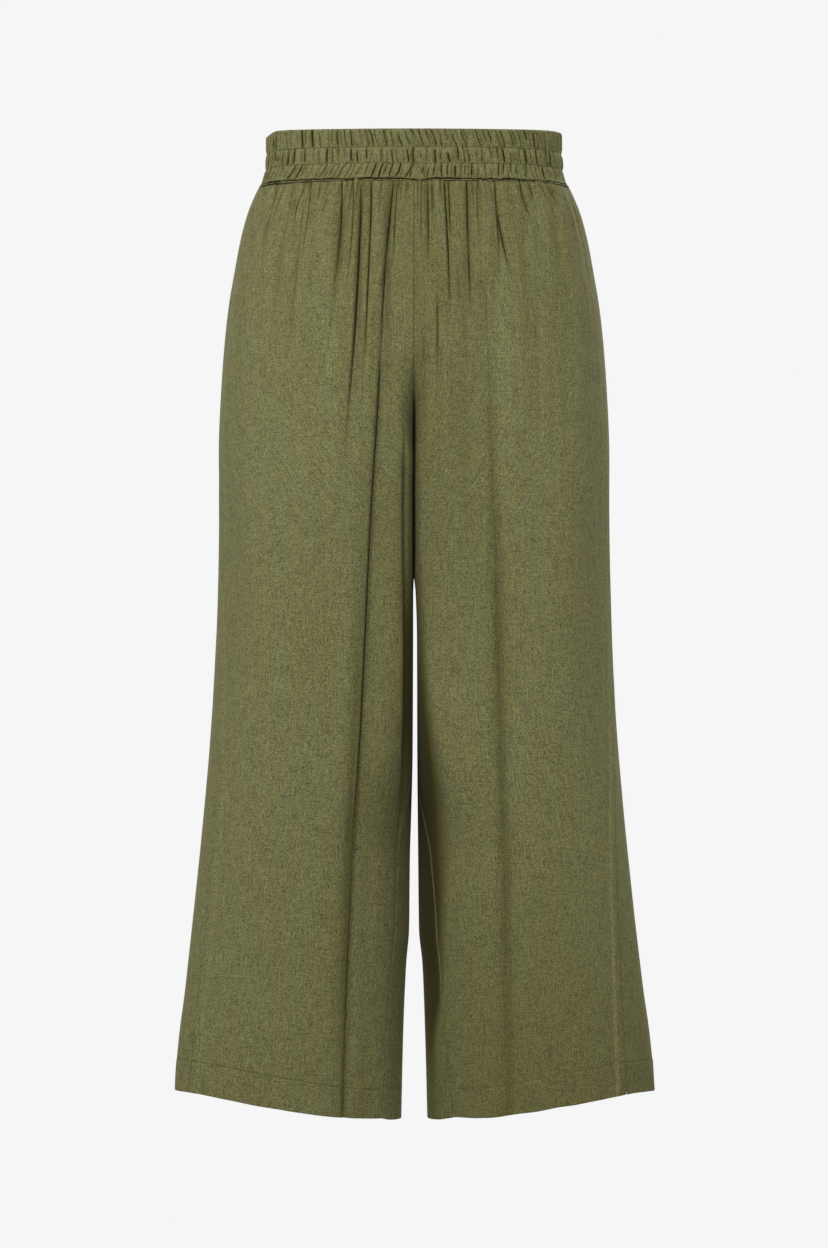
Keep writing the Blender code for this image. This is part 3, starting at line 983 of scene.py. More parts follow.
    def fold_run(self, fold: Fold, down: Array) -> tuple[Array, Array]:
        """How far along a fold each place lies, and how much of its depth it has there.

        Args:
            fold: The fold.
            down: Places down the panel.

        Returns:
            Places along the fold, and the share of its depth.
        """
        along = np.clip((down - fold.start) / (fold.end - fold.start), 0.0, 1.0)
        run_in = ease((down - fold.start) / self.fold_run_in + self.fold_at_start)
        run_out = 1 - ease((along - 1 + self.fold_run_out) / self.fold_run_out)
        return along, run_in * run_out

    def crease_run(self, crease: Fold, down: Array) -> tuple[Array, Array]:
        """How far along a crease each place lies, and how much of its depth it has there.

        Args:
            crease: The crease.
            down: Places down the panel.

        Returns:
            Places along the crease, and the share of its depth.
        """
        along = np.clip((down - crease.start) / (crease.end - crease.start), 0.0, 1.0)
        broad = max(1.0, crease.half_width / self.sharp_width) ** 2
        at_start = self.crease_at_start if crease.start == 0 else 0.0
        run_in = ease((down - crease.start) / (self.crease_run_in * broad) + at_start)
        run_out = 1 - ease((along - 1 + self.crease_run_out) / self.crease_run_out)
        return along, run_in * run_out

    def grid(self) -> tuple[Array, Array]:
        """Places of the mesh points, their columns drawn to the folds and the seams.

        Returns:
            The places across and down, in arrays of rows and columns.
        """
        down = self.rows()[:, None]
        fine = np.linspace(0.0, 1.0, self.trial_columns)[None, :]
        x = self.side.value * self.form.smooth(self.side, self.face, fine, down)[..., 0]
        upper = ease(down * self.form.length / self.crowding_length)
        density = self.crowding_at_top - self.crowding_loss * upper + 0 * x
        for fold in self.folds:
            along, share = self.fold_run(fold, down)
            offset = (x - self.fold_line(fold, along)) / (self.crowding_spread * fold.half_width)
            sharp = fold.half_width < self.broad_fold
            density += self.fold_crowding * np.sqrt(share) * bell(offset) * sharp
        for crease in self.creases:
            along, share = self.crease_run(crease, down)
            reach = max(self.crease_reach, self.crowding_spread * crease.half_width)
            offset = (x - self.fold_line(crease, along)) / reach
            strength = self.crease_crowding * self.crease_reach / reach
            density += strength * share * bell(offset)
        edges = bell(fine / self.edge_spread) + bell((1 - fine) / self.edge_spread)
        density += self.edge_crowding * edges
        for _ in range(self.crowding_rounds):
            density[1:-1] = (density[:-2] + 2 * density[1:-1] + density[2:]) / 4
        steps = (density[:, 1:] + density[:, :-1]) / 2
        total = np.concatenate([np.zeros((len(down), 1)), np.cumsum(steps, axis=1)], axis=1)
        share = np.linspace(0.0, 1.0, self.columns + 1)
        across = np.array([np.interp(share * row[-1], row, fine[0]) for row in total])
        return across, np.broadcast_to(down, across.shape)

    def long_folds(self, x: Array, down: Array) -> Array:
        """Depth of the long folds: a soft trough with a narrower crease along its middle.

        Args:
            x: Distances from the garment's middle.
            down: Places down the panel.

        Returns:
            How far the cloth is lowered there.
        """
        total = np.zeros_like(x)
        for fold in self.folds:
            along, share = self.fold_run(fold, down)
            offset = (x - self.fold_line(fold, along)) / fold.half_width
            offset = offset / (1 + self.fold_spread * along)
            section = trough(offset)
            if fold.depth > 0 and fold.half_width < self.broad_fold:
                core = trough((x - self.fold_line(fold, along)) / self.core_width)
                section = section * (1 - self.fold_core) + self.fold_core * core
            total = total + fold.depth * share * section
        return total

    def narrow_creases(self, x: Array, down: Array) -> tuple[Array, Array, Array, Array]:
        """The narrow creases: sharp troughs whose one side laps over the other.

        Args:
            x: Distances from the garment's middle.
            down: Places down the panel.

        Returns:
            How far the cloth is lowered there, how shaded it is, from 0 to 1, the distance to
            the nearest crease line in millimetres, and how strongly that line is marked.
        """
        lowered = np.zeros_like(x)
        shade = np.zeros_like(x)
        offsets: list[Array] = []
        strengths: list[Array] = []
        for crease in self.creases:
            along, share = self.crease_run(crease, down)
            away = x - self.fold_line(crease, along)
            core = share * trough(away / crease.half_width)
            lap = np.tanh(away / crease.half_width) * bell(away / self.lap_reach)
            lowered += self.crease_relief * crease.depth * (core - crease.lap * share * lap)
            narrow = min(1.0, (self.sharp_width / crease.half_width) ** 2)
            strength = min(1.0, crease.depth / self.full_shade)
            # Painted shade along each crease, darker for deeper creases.
            shade += self.painted_crease_shade * core * min(self.most_painted_crease_shade, crease.depth / self.full_shade)
            offsets.append(away)
            strengths.append(share * strength * narrow)
        distance, mark = nearest_line(np.array(offsets), np.array(strengths))
        return lowered, np.clip(shade, 0.0, 1.0), distance, self.crease_mark * mark

    def gather_waves(self, across: Array, down: Array) -> tuple[Array, Array]:
        """Depth of the gathers and puckers below the waist seam, each with its own length.

        Args:
            across: Places across the panel.
            down: Places down the panel.

        Returns:
            How far the cloth is lowered there, and how shaded it is, from 0 to 1.
        """
        chance = Wander(self.seed)
        distance = down * self.form.length
        place = np.arcsin(np.clip(self.form.body_share(across), 0.0, 1.0)) / (math.pi / 2)
        drift = np.sin(self.gather_drifts * place + 7 * self.gathers.shift)
        phase = self.gathers.count * place + self.gathers.shift + self.gather_drift * drift
        index = np.floor(phase + 0.5) + 5
        uneven = self.gather_sizes.at(chance.each(index, 1))
        reach = self.gather_fade * self.gather_reaches.at(chance.each(index, 2))
        swell = self.gather_at_seam + (1 - self.gather_at_seam) * ease(distance / self.gather_swell)
        fade = 1 - ease((distance / reach - self.gather_hold) / (1 - self.gather_hold))
        wave = np.abs(np.cos(math.pi * phase)) ** self.gather_powers.at(chance.each(index, 3))
        total = self.gather_depth * uneven * swell * fade * wave
        shade = np.zeros_like(across)
        for count, seed in self.puckers:
            drift = np.sin(self.pucker_drifts * place + self.seed + seed)
            phase = count * self.gathers.count * place + self.pucker_drift * drift
            index = np.floor(phase + 0.5) + 5
            reach = self.pucker_reaches.at(chance.each(index, seed) ** 2)
            swell = self.pucker_swell.at(ease(distance / self.pucker_start))
            fade = swell * (1 - ease(distance / reach))
            size = self.pucker_sizes.at(chance.each(index, seed + 1))
            section = np.abs(np.cos(math.pi * phase)) ** self.pucker_power
            total += size * fade * section
            # Painted shade in the puckers' hollows.
            shade += self.painted_pucker_shade * size / self.full_pucker * fade * section**2
        return total, shade

    def rippled(
        self, ripple: Ripple, arc: Array, height: Array, slant: Array | float = 0.0
    ) -> Array:
        """A ripple's heights over the panel.

        Args:
            ripple: The ripple.
            arc: Distances round the garment, in metres.
            height: Heights, in metres.
            slant: How far its cells are moved along, counted in cells.

        Returns:
            How far the cloth is raised there.
        """
        across, down = arc / ripple.width + 9 + slant, height / ripple.height + 9
        return ripple.size * Wander(self.seed + ripple.seed).at(across, down)

    def crumple(self, arc: Array, height: Array) -> Array:
        """Slight unevenness of linen cloth that has been worn, as heights.

        Args:
            arc: Distances round the garment, in metres.
            height: Heights, in metres.

        Returns:
            How far the cloth is raised there.
        """
        total = sum(self.rippled(ripple, arc, height) for ripple in self.crumples)
        fading = self.pleats_left.at(self.pleated.at(height))
        return total + self.rippled(self.fine_pleats, arc, height) * fading

    def tone(self, x: Array, height: Array) -> Array:
        """Painted shade and light: uneven streaks between the pleats at the top, shade under the
        gathers, down the middle and towards the hem.

        Args:
            x: Distances from the garment's middle.
            height: Heights.

        Returns:
            How much painted shade (+) or painted light (-) lies there.
        """
        pleats = self.rippled(self.painted_pleat_shade, x, height)
        leg = LEG_PAINTED_LIGHT[self.side]
        painted_foot_shade = leg.painted_foot_shade * self.painted_foot_shade.at(height)
        middle = self.middle_shade * bell(x / self.middle_width) * (1 - leg.middle.at(height))
        gathered = self.gathered_shade * self.gathered.at(height)
        return pleats * self.near_waist.at(height) + gathered + painted_foot_shade + middle

    def seams(self, from_inner: Array, from_side: Array) -> Array:
        """How the cloth sinks into its seams and stands up over the allowances beside them.

        Args:
            from_inner: Distances along the cloth from the centre seam or inseam.
            from_side: Distances along the cloth from the side seam.

        Returns:
            How far the cloth is raised there, below 0 at the seams.
        """
        total = np.zeros_like(from_inner)
        for distance, ridge in ((from_inner, self.inner_ridge), (from_side, 1.0)):
            inside = np.clip(1 - distance / self.seam_roll, 0.0, 1.0)
            total -= self.seam_sink * (1 - np.sqrt(1 - inside**2))
            if self.face is Face.FRONT:
                total += ridge * self.seam_ridge * self.allowance.at(distance)
        return total

    def hem(self, above: Array, arc: Array) -> Array:
        """The groove of the hem's stitching, with the slight puckers it draws.

        Args:
            above: Distances above the hem's edge.
            arc: Distances round the garment.

        Returns:
            How far the cloth is raised there.
        """
        over = above - self.hem_stitch
        puckers = self.rippled(self.hem_puckers, arc, above) * bell(over / self.hem_pucker_reach)
        proud = self.hem_proud * (1 - ease(over / self.hem_proud_edge))
        twist = self.rippled(self.hem_twist, arc, above, above / self.twist_slant)
        groove = self.stitch_groove * bell(over / self.groove_width)
        return proud - groove + puckers + twist * (1 - ease(over / self.twist_edge))

    def places(self) -> Places:
        """Lay the panel's mesh points over the unfolded cloth.

        Returns:
            Where they lie.
        """
        across, down = self.grid()
        base = self.form.smooth(self.side, self.face, across, down)
        arc = running_length(base, 1)
        run = running_length(base, 0)
        return Places(
            across=across,
            down=down,
            base=base,
            normal=self.form.outward(self.side, self.face, across, down),
            x=self.side.value * base[..., 0],
            height=base[..., 2],
            arc=arc,
            from_side=arc[:, -1:] - arc,
            below=run[-1:] - run,
            calm=ease(across / self.edge_calm) * ease((1 - across) / self.edge_calm),
            before=self.front.at(base[..., 1]),
        )

    def folded(self, at: Places, depth: Array) -> Array:
        """Points of the cloth with its folds, seams and hem.

        Args:
            at: Places of the points.
            depth: How deep the folds, gathers and creases are there.

        Returns:
            The outer points.
        """
        from_top = at.down * self.form.length
        limit = self.sewn_depth + self.sewn_swell * ease(from_top / self.sewn_reach)
        depth = limit * np.tanh(depth / limit)
        raised = (self.crumple(at.from_side, at.height) - depth) * at.calm
        turned = self.turn.lowered(at.x, at.height) * at.before
        raised = raised - turned * ease(at.arc / self.turn_start)
        raised = raised + self.seams(at.arc, at.from_side) + self.hem(at.below, at.from_side)
        raised = raised - self.top_sink * (1 - ease(from_top / self.top_sink_reach))
        return at.base + at.normal * raised[..., None]

    def held_in(self, at: Places, outer: Array) -> Array:
        """Keep the legs together where they touch, and trim the foot to the hem's line.

        Args:
            at: Places of the points.
            outer: Outer points.

        Returns:
            The outer points in their final places.
        """
        held = np.maximum(bell(at.arc / self.seam_hold), self.near_middle.at(at.x))
        held = held * self.touching.at(at.height)
        outer[..., 0] += (at.base[..., 0] - outer[..., 0]) * held
        nearest = np.minimum(self.form.leg(self.side).read("inner", at.height), at.x)
        outer[..., 0] = self.side.value * np.maximum(self.side.value * outer[..., 0], nearest)
        outer[..., 2] -= self.form.dip(outer[..., 0]) * self.dip_share(at.down)
        trimmed = self.trim_foot.at(at.below) * self.trim_front.at(at.base[..., 1])
        outer[..., 2] += HEM_TRIM.read(self.side.name.lower(), at.x) * trimmed
        return outer

    def shaded(self, at: Places, shade: Array) -> Array:
        """Add to a shade the painted shade of tone(), the turned-in cloth and the hem stitching, and
        the ridge's painted highlight.

        Args:
            at: Places of the points.
            shade: Painted shade of the folds and gathers there.

        Returns:
            The whole painted shade.
        """
        # Painted shade of the cloth turned in between the legs, lessened along the inseam's edge where
        # it catches light.
        inner = self.turn.shade(at.x, at.height) * at.before
        inner = inner * (1 - self.rim_pale * self.rim.at(at.arc))
        shade = np.maximum(shade + self.tone(at.x, at.height), inner)
        # Painted shade along the hem's stitching.
        stitched = bell((at.below - self.hem_stitch) / self.stitch_shade_width)
        shade = np.maximum(shade, self.hem_shade * stitched)
        if self.face is Face.BACK:
            return shade
        # Painted highlight on the ridge beside the side seam of the front panels, stronger on the right
        # leg.
        ridge = self.painted_ridge_highlight * self.ridge.at(at.from_side) * self.ridge_rows.at(at.height)
        return shade - ridge * LEG_PAINTED_LIGHT[self.side].pale

    def build(self) -> bpy.types.Object:
        """Make the panel's shell.

        Returns:
            The panel's object.
        """
        at = self.places()
        lowered, shade, line, mark = self.narrow_creases(at.x, at.down)
        gathered, gather_shade = self.gather_waves(at.across, at.down)
        depth = self.long_folds(at.x, at.down) + gathered + lowered
        outer = self.held_in(at, self.folded(at, depth))
        shade = self.shaded(at, np.clip(shade + gather_shade, 0.0, 1.0) * at.calm)
        self.stitch_line = self.hem_path(outer, at.below)
        tucked = outer[:1] - at.normal[:1] * self.tuck + np.array([0.0, 0.0, 2 * self.tuck])
        outer = np.concatenate([tucked, outer])
        # The 'crease' attribute carries the panel's painted shade, below 0 its painted highlight;
        # 'line' and 'mark' draw the painted dark crease lines.
        marks = {"crease": shade, "line": line, "mark": mark * at.calm}
        marks = {key: self.doubled(rows) for key, rows in marks.items()}
        weave = self.doubled(self.weave_map(at.base))
        shell = self.wall(outer, self.doubled(at.below), marks, weave)
        return shell.to_object(self.name + "_cloth", self.side.value * self.face.value < 0)

    def cloth_normals(self, outer: Array) -> Array:
        """Unit normals of the folded cloth, pointing out of the garment."""
        crossed = np.cross(np.gradient(outer, axis=1), np.gradient(outer, axis=0))
        return unit(self.side.value * self.face.value * crossed)

    @staticmethod
    def doubled(rows: Array) -> Array:
        """The same rows with the first one twice."""
        return np.concatenate([rows[:1], rows])

    def dip_share(self, down: Array) -> Array:
        """How much of the waist seam's dip reaches a place down the front panels."""
        share = 1 - ease(down * self.form.length / self.dip_reach)
        return share if self.face is Face.FRONT else 0 * share

    def weave_map(self, base: Array) -> Array:
        """Places of the points on the flat cloth, with the warp along the grain line.

        Args:
            base: Points of the unfolded cloth.

        Returns:
            Places on the cloth in metres, the warp running along the second.
        """
        flat = running_length(base[..., :2], 1)
        middle = flat[:, -1:] / 2
        offset = self.weave_step * (self.seed % 7)
        return np.stack([flat - middle + offset, base[..., 2] + offset], axis=-1)

    def wall(self, outer: Array, above: Array, marks: dict[str, Array], weave: Array) -> Shell:
        """Give the cloth its thickness, with the turned-up hem folded round at its edge.

        Args:
            outer: Outer points.
            above: Distances above the hem's edge.
            marks: Shade and crease lines of the points, by name.
            weave: Places on the flat cloth.

        Returns:
            The closed shell.
        """
        normal = self.cloth_normals(outer)
        in_hem = 1 - ease((above - self.hem_depth - self.hem_step_from) / self.hem_step)
        thick = self.cloth + (self.hem_wall - self.cloth) * in_hem
        radius = self.hem_wall / 2
        inside = np.clip(1 - above / radius, 0.0, 1.0)
        roll = radius * (1 - np.sqrt(1 - inside**2))
        rolled = outer - normal * roll[..., None]
        inner = outer - normal * (thick - roll)[..., None]
        return Shell(rolled, inner[:-1], weave, marks)

    def hem_path(self, outer: Array, above: Array) -> tuple[Array, Array]:
        """The line of the hem's stitching over this panel.

        Args:
            outer: Outer points.
            above: Distances above the hem's edge.

        Returns:
            Points from the inseam to the side seam, and the cloth's normals there.
        """
        normal = self.cloth_normals(outer)
        line = np.empty((outer.shape[1], 3))
        facing = np.empty_like(line)
        for c in range(len(line)):
            for axis in range(3):
                line[c, axis] = np.interp(-self.hem_stitch, -above[:, c], outer[:, c, axis])
                facing[c, axis] = np.interp(-self.hem_stitch, -above[:, c], normal[:, c, axis])
        return line, facing


@dataclass
class Waistband:
    """The ruched waistband: three puffed tunnels of elastic, a top fold and a seam welt."""

    form: GarmentForm
    top: float = 0.0225
    tunnels: int = 3
    top_tunnel_extra: float = 0.05
    wall: float = 0.0024
    puff: float = 0.0016
    row_sink: float = 0.62
    sink_power: float = 2.6
    held: Span = Span(0.35, 0.65)
    held_reach: float = 0.16
    row_reach: float = 0.05
    row_shade: float = 0.75
    eased_rows: float = 0.55
    even_rows: float = 0.45
    corners: float = 0.075
    main_wrinkles: int = 122
    fine_wrinkles: int = 96
    fullness: float = 1.38
    wrinkle_depth: float = 0.0022
    wrinkle_width: float = 0.00066
    wrinkle_lap: float = 0.0026
    wrinkle_shift: float = 0.36
    wrinkle_depths: tuple[float, float] = (0.45, 1.25)
    wrinkle_widths: tuple[float, float] = (0.75, 1.5)
    wrinkle_starts: tuple[float, float] = (-0.5, 0.25)
    wrinkle_ends: tuple[float, float] = (0.75, 1.5)
    wrinkle_run: float = 0.25
    fine_scale: float = 0.38
    short_share: float = 0.3
    short_ends: tuple[float, float] = (0.45, 0.8)
    lean_spread: float = 0.0008
    bend_spread: float = 0.0006
    lap_share: float = 0.32
    lap_right: float = 0.7
    # Painted dark line along each wrinkle.
    wrinkle_mark: float = 2.1
    right_shade: float = 0.10
    right_reach: float = 0.06
    corner_rise: float = 0.0027
    corner_reach: float = 0.016
    left_round: float = 0.0032
    round_end: Ramp = Ramp(0.93, 0.09)
    round_top: Ramp = Ramp(0.008, 0.015)
    dip_starts: float = 0.6
    welt: float = 0.0026
    groove: float = 0.0009
    groove_width: float = 0.17
    welt_mark: float = 4.6
    welt_marks: Span = Span(0.75, 0.35)
    welt_shade: float = 0.12
    welt_unevenness: float = 0.10
    welt_noises: tuple[tuple[int, float], ...] = ((7, 0.0035), (8, 0.026), (9, 0.0048), (10, 0.0016))
    welt_rows: tuple[float, ...] = (0.06, 0.16, 0.27, 0.38, 0.49, 0.60, 0.71, 0.82, 0.92, 1.0)
    worn: Span = Span(0.10, 1.6)
    seam_wander: float = 0.14
    cord_gap: float = 0.24
    least_gap: float = 0.05
    gap_unevenness: float = 0.3
    cord_pale: float = 0.9
    inner_reach: float = 0.004
    inner_sink: float = 0.0007
    inner_ruche: float = 0.0005
    columns: int = 1720
    rows_in_tunnel: int = 12
    seed: int = 41
    section: Table = Table(
        ("half_width", "front", "back"),
        (
            (0.0225, 0.1268, 0.0905, 0.0930),
            (0.0080, 0.1272, 0.0905, 0.0930),
            (-0.0068, 0.1280, 0.0910, 0.0938),
            (-0.0160, 0.1300, 0.0920, 0.0953),
            (-0.0218, 0.1350, 0.0932, 0.0968),
        ),
    )
    leans: tuple[Lean, ...] = (
        Lean(-180, 0.000, 0.000, 0.000),
        Lean(-140, 0.003, -0.001, 0.002),
        Lean(-95, 0.000, 0.000, -0.003),
        Lean(-60, 0.000, 0.000, -0.005),
        Lean(-35, 0.0005, 0.0005, -0.0045),
        Lean(-20, 0.003, 0.001, -0.0045),
        Lean(0, 0.0055, 0.0015, -0.0030),
        Lean(20, 0.0060, 0.0018, -0.0012),
        Lean(45, 0.0055, 0.0022, -0.0004),
        Lean(65, 0.0030, 0.0020, 0.0012),
        Lean(95, 0.000, 0.001, 0.002),
        Lean(140, -0.003, 0.001, 0.001),
        Lean(180, 0.000, 0.000, 0.000),
    )

    def row_height(self, fall: Array | float) -> Array:
        """Height of a place down the tunnels, counted in tunnels; the top one is the tallest."""
        share = fall / self.tunnels
        whole = self.top - self.form.waist_seam - self.welt
        return self.top - whole * (share + self.top_tunnel_extra * np.sin(math.pi * share))

    def ring(self, height: Array, angle: Array) -> tuple[Array, Array]:
        """The band's oval before it is ruched.

        Args:
            height: Heights.
            angle: Angles round the waist, 0 at the front and growing to the right.

        Returns:
            Points and level unit normals.
        """
        half_width = self.section.read("half_width", height)
        front = self.section.read("front", height)
        back = self.section.read("back", height)
        depth = np.where(np.cos(angle) > 0, front, back)
        corners = 1 + self.corners * np.sin(2 * angle) ** 2
        x = half_width * np.sin(angle) * corners
        y = -depth * np.cos(angle) * corners
        away = np.stack([np.sin(angle) / half_width, -np.cos(angle) / depth, 0 * x], axis=-1)
        return np.stack([x, y, height + 0 * x], axis=-1), unit(away)

    def lean(self, tunnel: int, angle: Array) -> Array:
        """How far to the right a wrinkle moves from the top of a tunnel to its foot."""
        name = ("top", "middle", "bottom")[tunnel]
        degrees = [row.degrees for row in self.leans]
        return np.interp(np.degrees(angle), degrees, [getattr(row, name) for row in self.leans])

    def wrinkles(
        self, tunnel: int, share: Array, angle: Array, around: Array
    ) -> tuple[Array, Array, Array]:
        """Depth of the wrinkles of one tunnel.

        Args:
            tunnel: Which tunnel, 0 at the top.
            share: Places down the tunnel, from 0 to 1.
            angle: Angles of the columns.
            around: Distances of the columns round the waist.

        Returns:
            How far the cloth is lowered there, the distance to the nearest wrinkle's line in
            millimetres, and how strongly it is marked.
        """
        chance = np.random.default_rng(self.seed + tunnel)
        girth = around[-1] - around[0] + around[1] - around[0]
        total = np.zeros((len(share), len(around)))
        offsets: list[Array] = []
        strengths: list[Array] = []
        for count, scale in ((self.main_wrinkles, 1.0), (self.fine_wrinkles, self.fine_scale)):
            for k in range(count):
                place = girth * (k + chance.uniform(-self.wrinkle_shift, self.wrinkle_shift)) / count
                depth = self.wrinkle_depth * scale * chance.uniform(*self.wrinkle_depths)
                width = self.wrinkle_width * chance.uniform(*self.wrinkle_widths)
                first = chance.uniform(*self.wrinkle_starts)
                last = chance.uniform(*self.wrinkle_ends)
                if chance.random() < self.short_share:
                    last = chance.uniform(*self.short_ends)
                extra = chance.normal(0.0, self.lean_spread)
                bend = chance.normal(0.0, self.bend_spread)
                here = np.interp(place % girth, around, angle)
                lean = self.lean(tunnel, here) + extra
                centre = place + lean * (share - 0.5) + bend * np.sin(math.pi * share)
                offset = (around[None, :] - centre[:, None] + girth / 2) % girth - girth / 2
                run_out = 1 - ease((share - last) / self.wrinkle_run)
                run = ease((share - first) / self.wrinkle_run) * run_out
                core = run[:, None] * trough(offset / width)
                lap = np.tanh(offset / width) * bell(offset / self.wrinkle_lap)
                side = self.lap_share * depth * (1 if chance.random() < self.lap_right else -1)
                total += depth * core + side * run[:, None] * lap
                offsets.append(offset)
                strength = min(1.0, depth / self.wrinkle_depth)
                strengths.append(run[:, None] * strength + 0 * offset)
        distance, mark = nearest_line(np.array(offsets), np.array(strengths))
        return total, distance, self.wrinkle_mark * mark

    def build(self) -> bpy.types.Object:
        """Make the band's closed ring.

        Returns:
            The band's object.
        """
        fine = np.linspace(-math.pi, math.pi, self.columns + 1)
        points, _ = self.ring(np.full_like(fine, self.top), fine)
        run = running_length(points, 0)
        around = np.linspace(0.0, run[-1], self.columns + 1)[:-1]
        angle = np.interp(around, run, fine)
        rows: list[Array] = []
        marks: dict[str, list[Array]] = {"crease": [], "line": [], "mark": []}
        for tunnel in range(self.tunnels):
            share = np.linspace(0.0, 1.0, self.rows_in_tunnel + 1)
            eased = (1 - np.cos(math.pi * share)) / 2
            share = eased * self.eased_rows + share * self.even_rows
            if tunnel < self.tunnels - 1:
                share = share[:-1]
            depth, line, mark = self.wrinkles(tunnel, share, angle, around)
            height = self.row_height(tunnel + share)
            from_row = np.minimum(share, 1 - share)
            sink = np.abs(2 * share - 1)
            if tunnel == 0:
                from_row = 1 - share
                sink = np.clip(2 * share - 1, 0, 1)
            hold = self.held.at(ease(from_row / self.held_reach))
            puff = self.puff * (1 - self.row_sink * sink**self.sink_power)
            if tunnel == 0:
                fold = np.clip(1 - (self.top - height) / (self.wall / 2), 0.0, 1.0)
                puff = puff - (self.puff + self.wall / 2) * (1 - np.sqrt(1 - fold**2))
            base, away = self.ring(height[:, None], angle[None, :])
            lifted = puff[:, None] - depth * hold[:, None]
            rows.append(base + away * lifted[..., None])
            # Painted shade along the rows between the tunnels, and over the band's right side, where
            # less light falls.
            row = 1 - ease(np.minimum(share, 1 - share) / self.row_reach)
            row = row * (1.0 if tunnel else share > 0.5)
            painted_right_shade = self.right_shade * ease(base[..., 0] / self.right_reach + 1)
            marks["crease"].append(self.row_shade * row[:, None] + painted_right_shade)
            marks["line"].append(line)
            marks["mark"].append(mark * hold[:, None])
        welt, welt_marks = self.seam_welt(angle, around)
        outer = self.dipped(np.concatenate([*rows, welt]))
        for key, values in welt_marks.items():
            marks[key].append(values)
        inner = self.inner_rows(angle, around)
        girth = float(run[-1])
        flat = around[None, :] * self.fullness
        weave = np.stack(np.broadcast_arrays(flat, outer[..., 2]), axis=-1)
        whole = {key: np.concatenate(parts) for key, parts in marks.items()}
        shell = Shell(outer, inner, weave, whole, ring=True, girth=girth * self.fullness)
        return shell.to_object("waistband_cloth", flip=False)

    def seam_welt(self, angle: Array, around: Array) -> tuple[Array, dict[str, Array]]:
        """The narrow welt between the last tunnel and the leg panels.

        Its seam is one uneven painted dark line, and opens in places into two with the bare cord
        between them.

        Args:
            angle: Angles of the columns.
            around: Distances of the columns round the waist.

        Returns:
            Points of the welt's rows, from the top to the bottom, and their marks by name.
        """
        top = self.form.waist_seam + self.welt
        foot = self.form.waist_seam
        share = np.array(self.welt_rows)[:, None]
        height = top + (foot - top) * share
        noise, slow, wave, loops = (
            Wander(self.seed + seed).at(around / length + 5, 0 * around + 3)[None, :]
            for seed, length in self.welt_noises
        )
        worn = ease(self.worn.at(slow))
        middle = 0.50 + self.seam_wander * wave + self.seam_wander * loops
        opened = self.cord_gap * worn * (1 + self.gap_unevenness * noise)
        nearness = bell((np.abs(share - middle) - opened) / self.groove_width)
        foot_in = self.puff * (1 - self.row_sink) * (1 - ease(share))
        lifted = foot_in - self.groove * nearness
        line = 1000 * (np.abs(share - middle) - opened) * (top - foot)
        bare = 1 - np.abs(share - middle) / np.maximum(opened, self.least_gap)
        cord = worn * np.clip(bare, 0.0, 1.0)
        base, away = self.ring(height + 0 * angle[None, :], angle[None, :])
        # Painted shade: a dark line along the seam's groove and a slight shade over the welt, lightened
        # where the paler bare cord shows.
        marks = {
            "crease": self.welt_shade - self.cord_pale * cord + self.welt_unevenness * noise,
            "line": line,
            "mark": self.welt_mark * self.welt_marks.at(noise) + 0 * line,
        }
        return base + away * lifted[..., None], marks

    def dipped(self, points: Array) -> Array:
        """Lower the foot of the band at the centre front, where the waist seam dips.

        Args:
            points: Points of the band.

        Returns:
            The lowered points.
        """
        points = points.copy()
        fallen = (self.top - points[..., 2]) / (self.top - self.form.waist_seam)
        reach = ease(fallen * (1 + self.dip_starts) - self.dip_starts)
        front = points[..., 1] < 0
        points[..., 2] -= self.form.dip(points[..., 0]) * reach * front
        corner = (np.abs(points[..., 0]) / self.section.read("half_width", self.top)) ** 4
        near_top = 1 - ease((self.top - points[..., 2]) / self.corner_reach)
        points[..., 2] += self.corner_rise * corner * near_top
        end = -points[..., 0] / self.section.read("half_width", self.top)
        rounded = self.round_end.at(end) * self.round_top.at(points[..., 2])
        points[..., 2] -= self.left_round * rounded
        return points

    def inner_rows(self, angle: Array, around: Array) -> Array:
        """The inside of the band, slightly ruched, from its top to its foot.

        Args:
            angle: Angles of the columns.
            around: Distances of the columns round the waist.

        Returns:
            Points of the inner rows.
        """
        foot = self.form.waist_seam
        tunnels = self.row_height(np.array([0.5, 1.0, 1.5, 2.0]))
        height = np.array([self.top, self.top - 0.0010, *tunnels, foot + 0.0060, foot])
        count = self.main_wrinkles
        girth = around[-1] - around[0] + around[1] - around[0]
        phase = count * around / girth + 0.6 * np.sin(14 * math.pi * around / girth)
        wave = 0.5 - np.abs(np.cos(math.pi * phase)) ** 3
        reach = self.inner_reach
        tuck = np.minimum(np.abs(height - self.row_height(1)), reach) / reach
        tuck = tuck * np.minimum(np.abs(height - self.row_height(2)), reach) / reach
        base, away = self.ring(height[:, None] + 0 * angle[None, :], angle[None, :])
        inwards = self.wall - self.inner_sink * (1 - tuck[:, None])
        inwards = inwards - self.inner_ruche * wave[None, :] * tuck[:, None]
        inwards[-2:] += self.inner_sink
        inwards[0], inwards[1] = self.wall * 0.55, self.wall * 0.85
        return self.dipped(base - away * inwards[..., None])

    def stitch_path(self, made: bpy.types.Object, row: int) -> tuple[Array, Array]:
        """The line of a row of stitching round the band.

        Args:
            made: The band's object.
            row: Which row, 1 under the first tunnel or 2 under the second.

        Returns:
            Points round the waist and the cloth's normals there.
        """
        points = np.zeros(len(made.data.vertices) * 3, np.float32)
        made.data.vertices.foreach_get("co", points)
        grid = points.reshape(-1, 3)[: (row * self.rows_in_tunnel + 1) * self.columns].astype(float)
        line = grid[-self.columns :]
        ahead = np.roll(line, -3, axis=0) - np.roll(line, 3, axis=0)
        return line, unit(np.cross(ahead, np.array([0.0, 0.0, 1.0])))


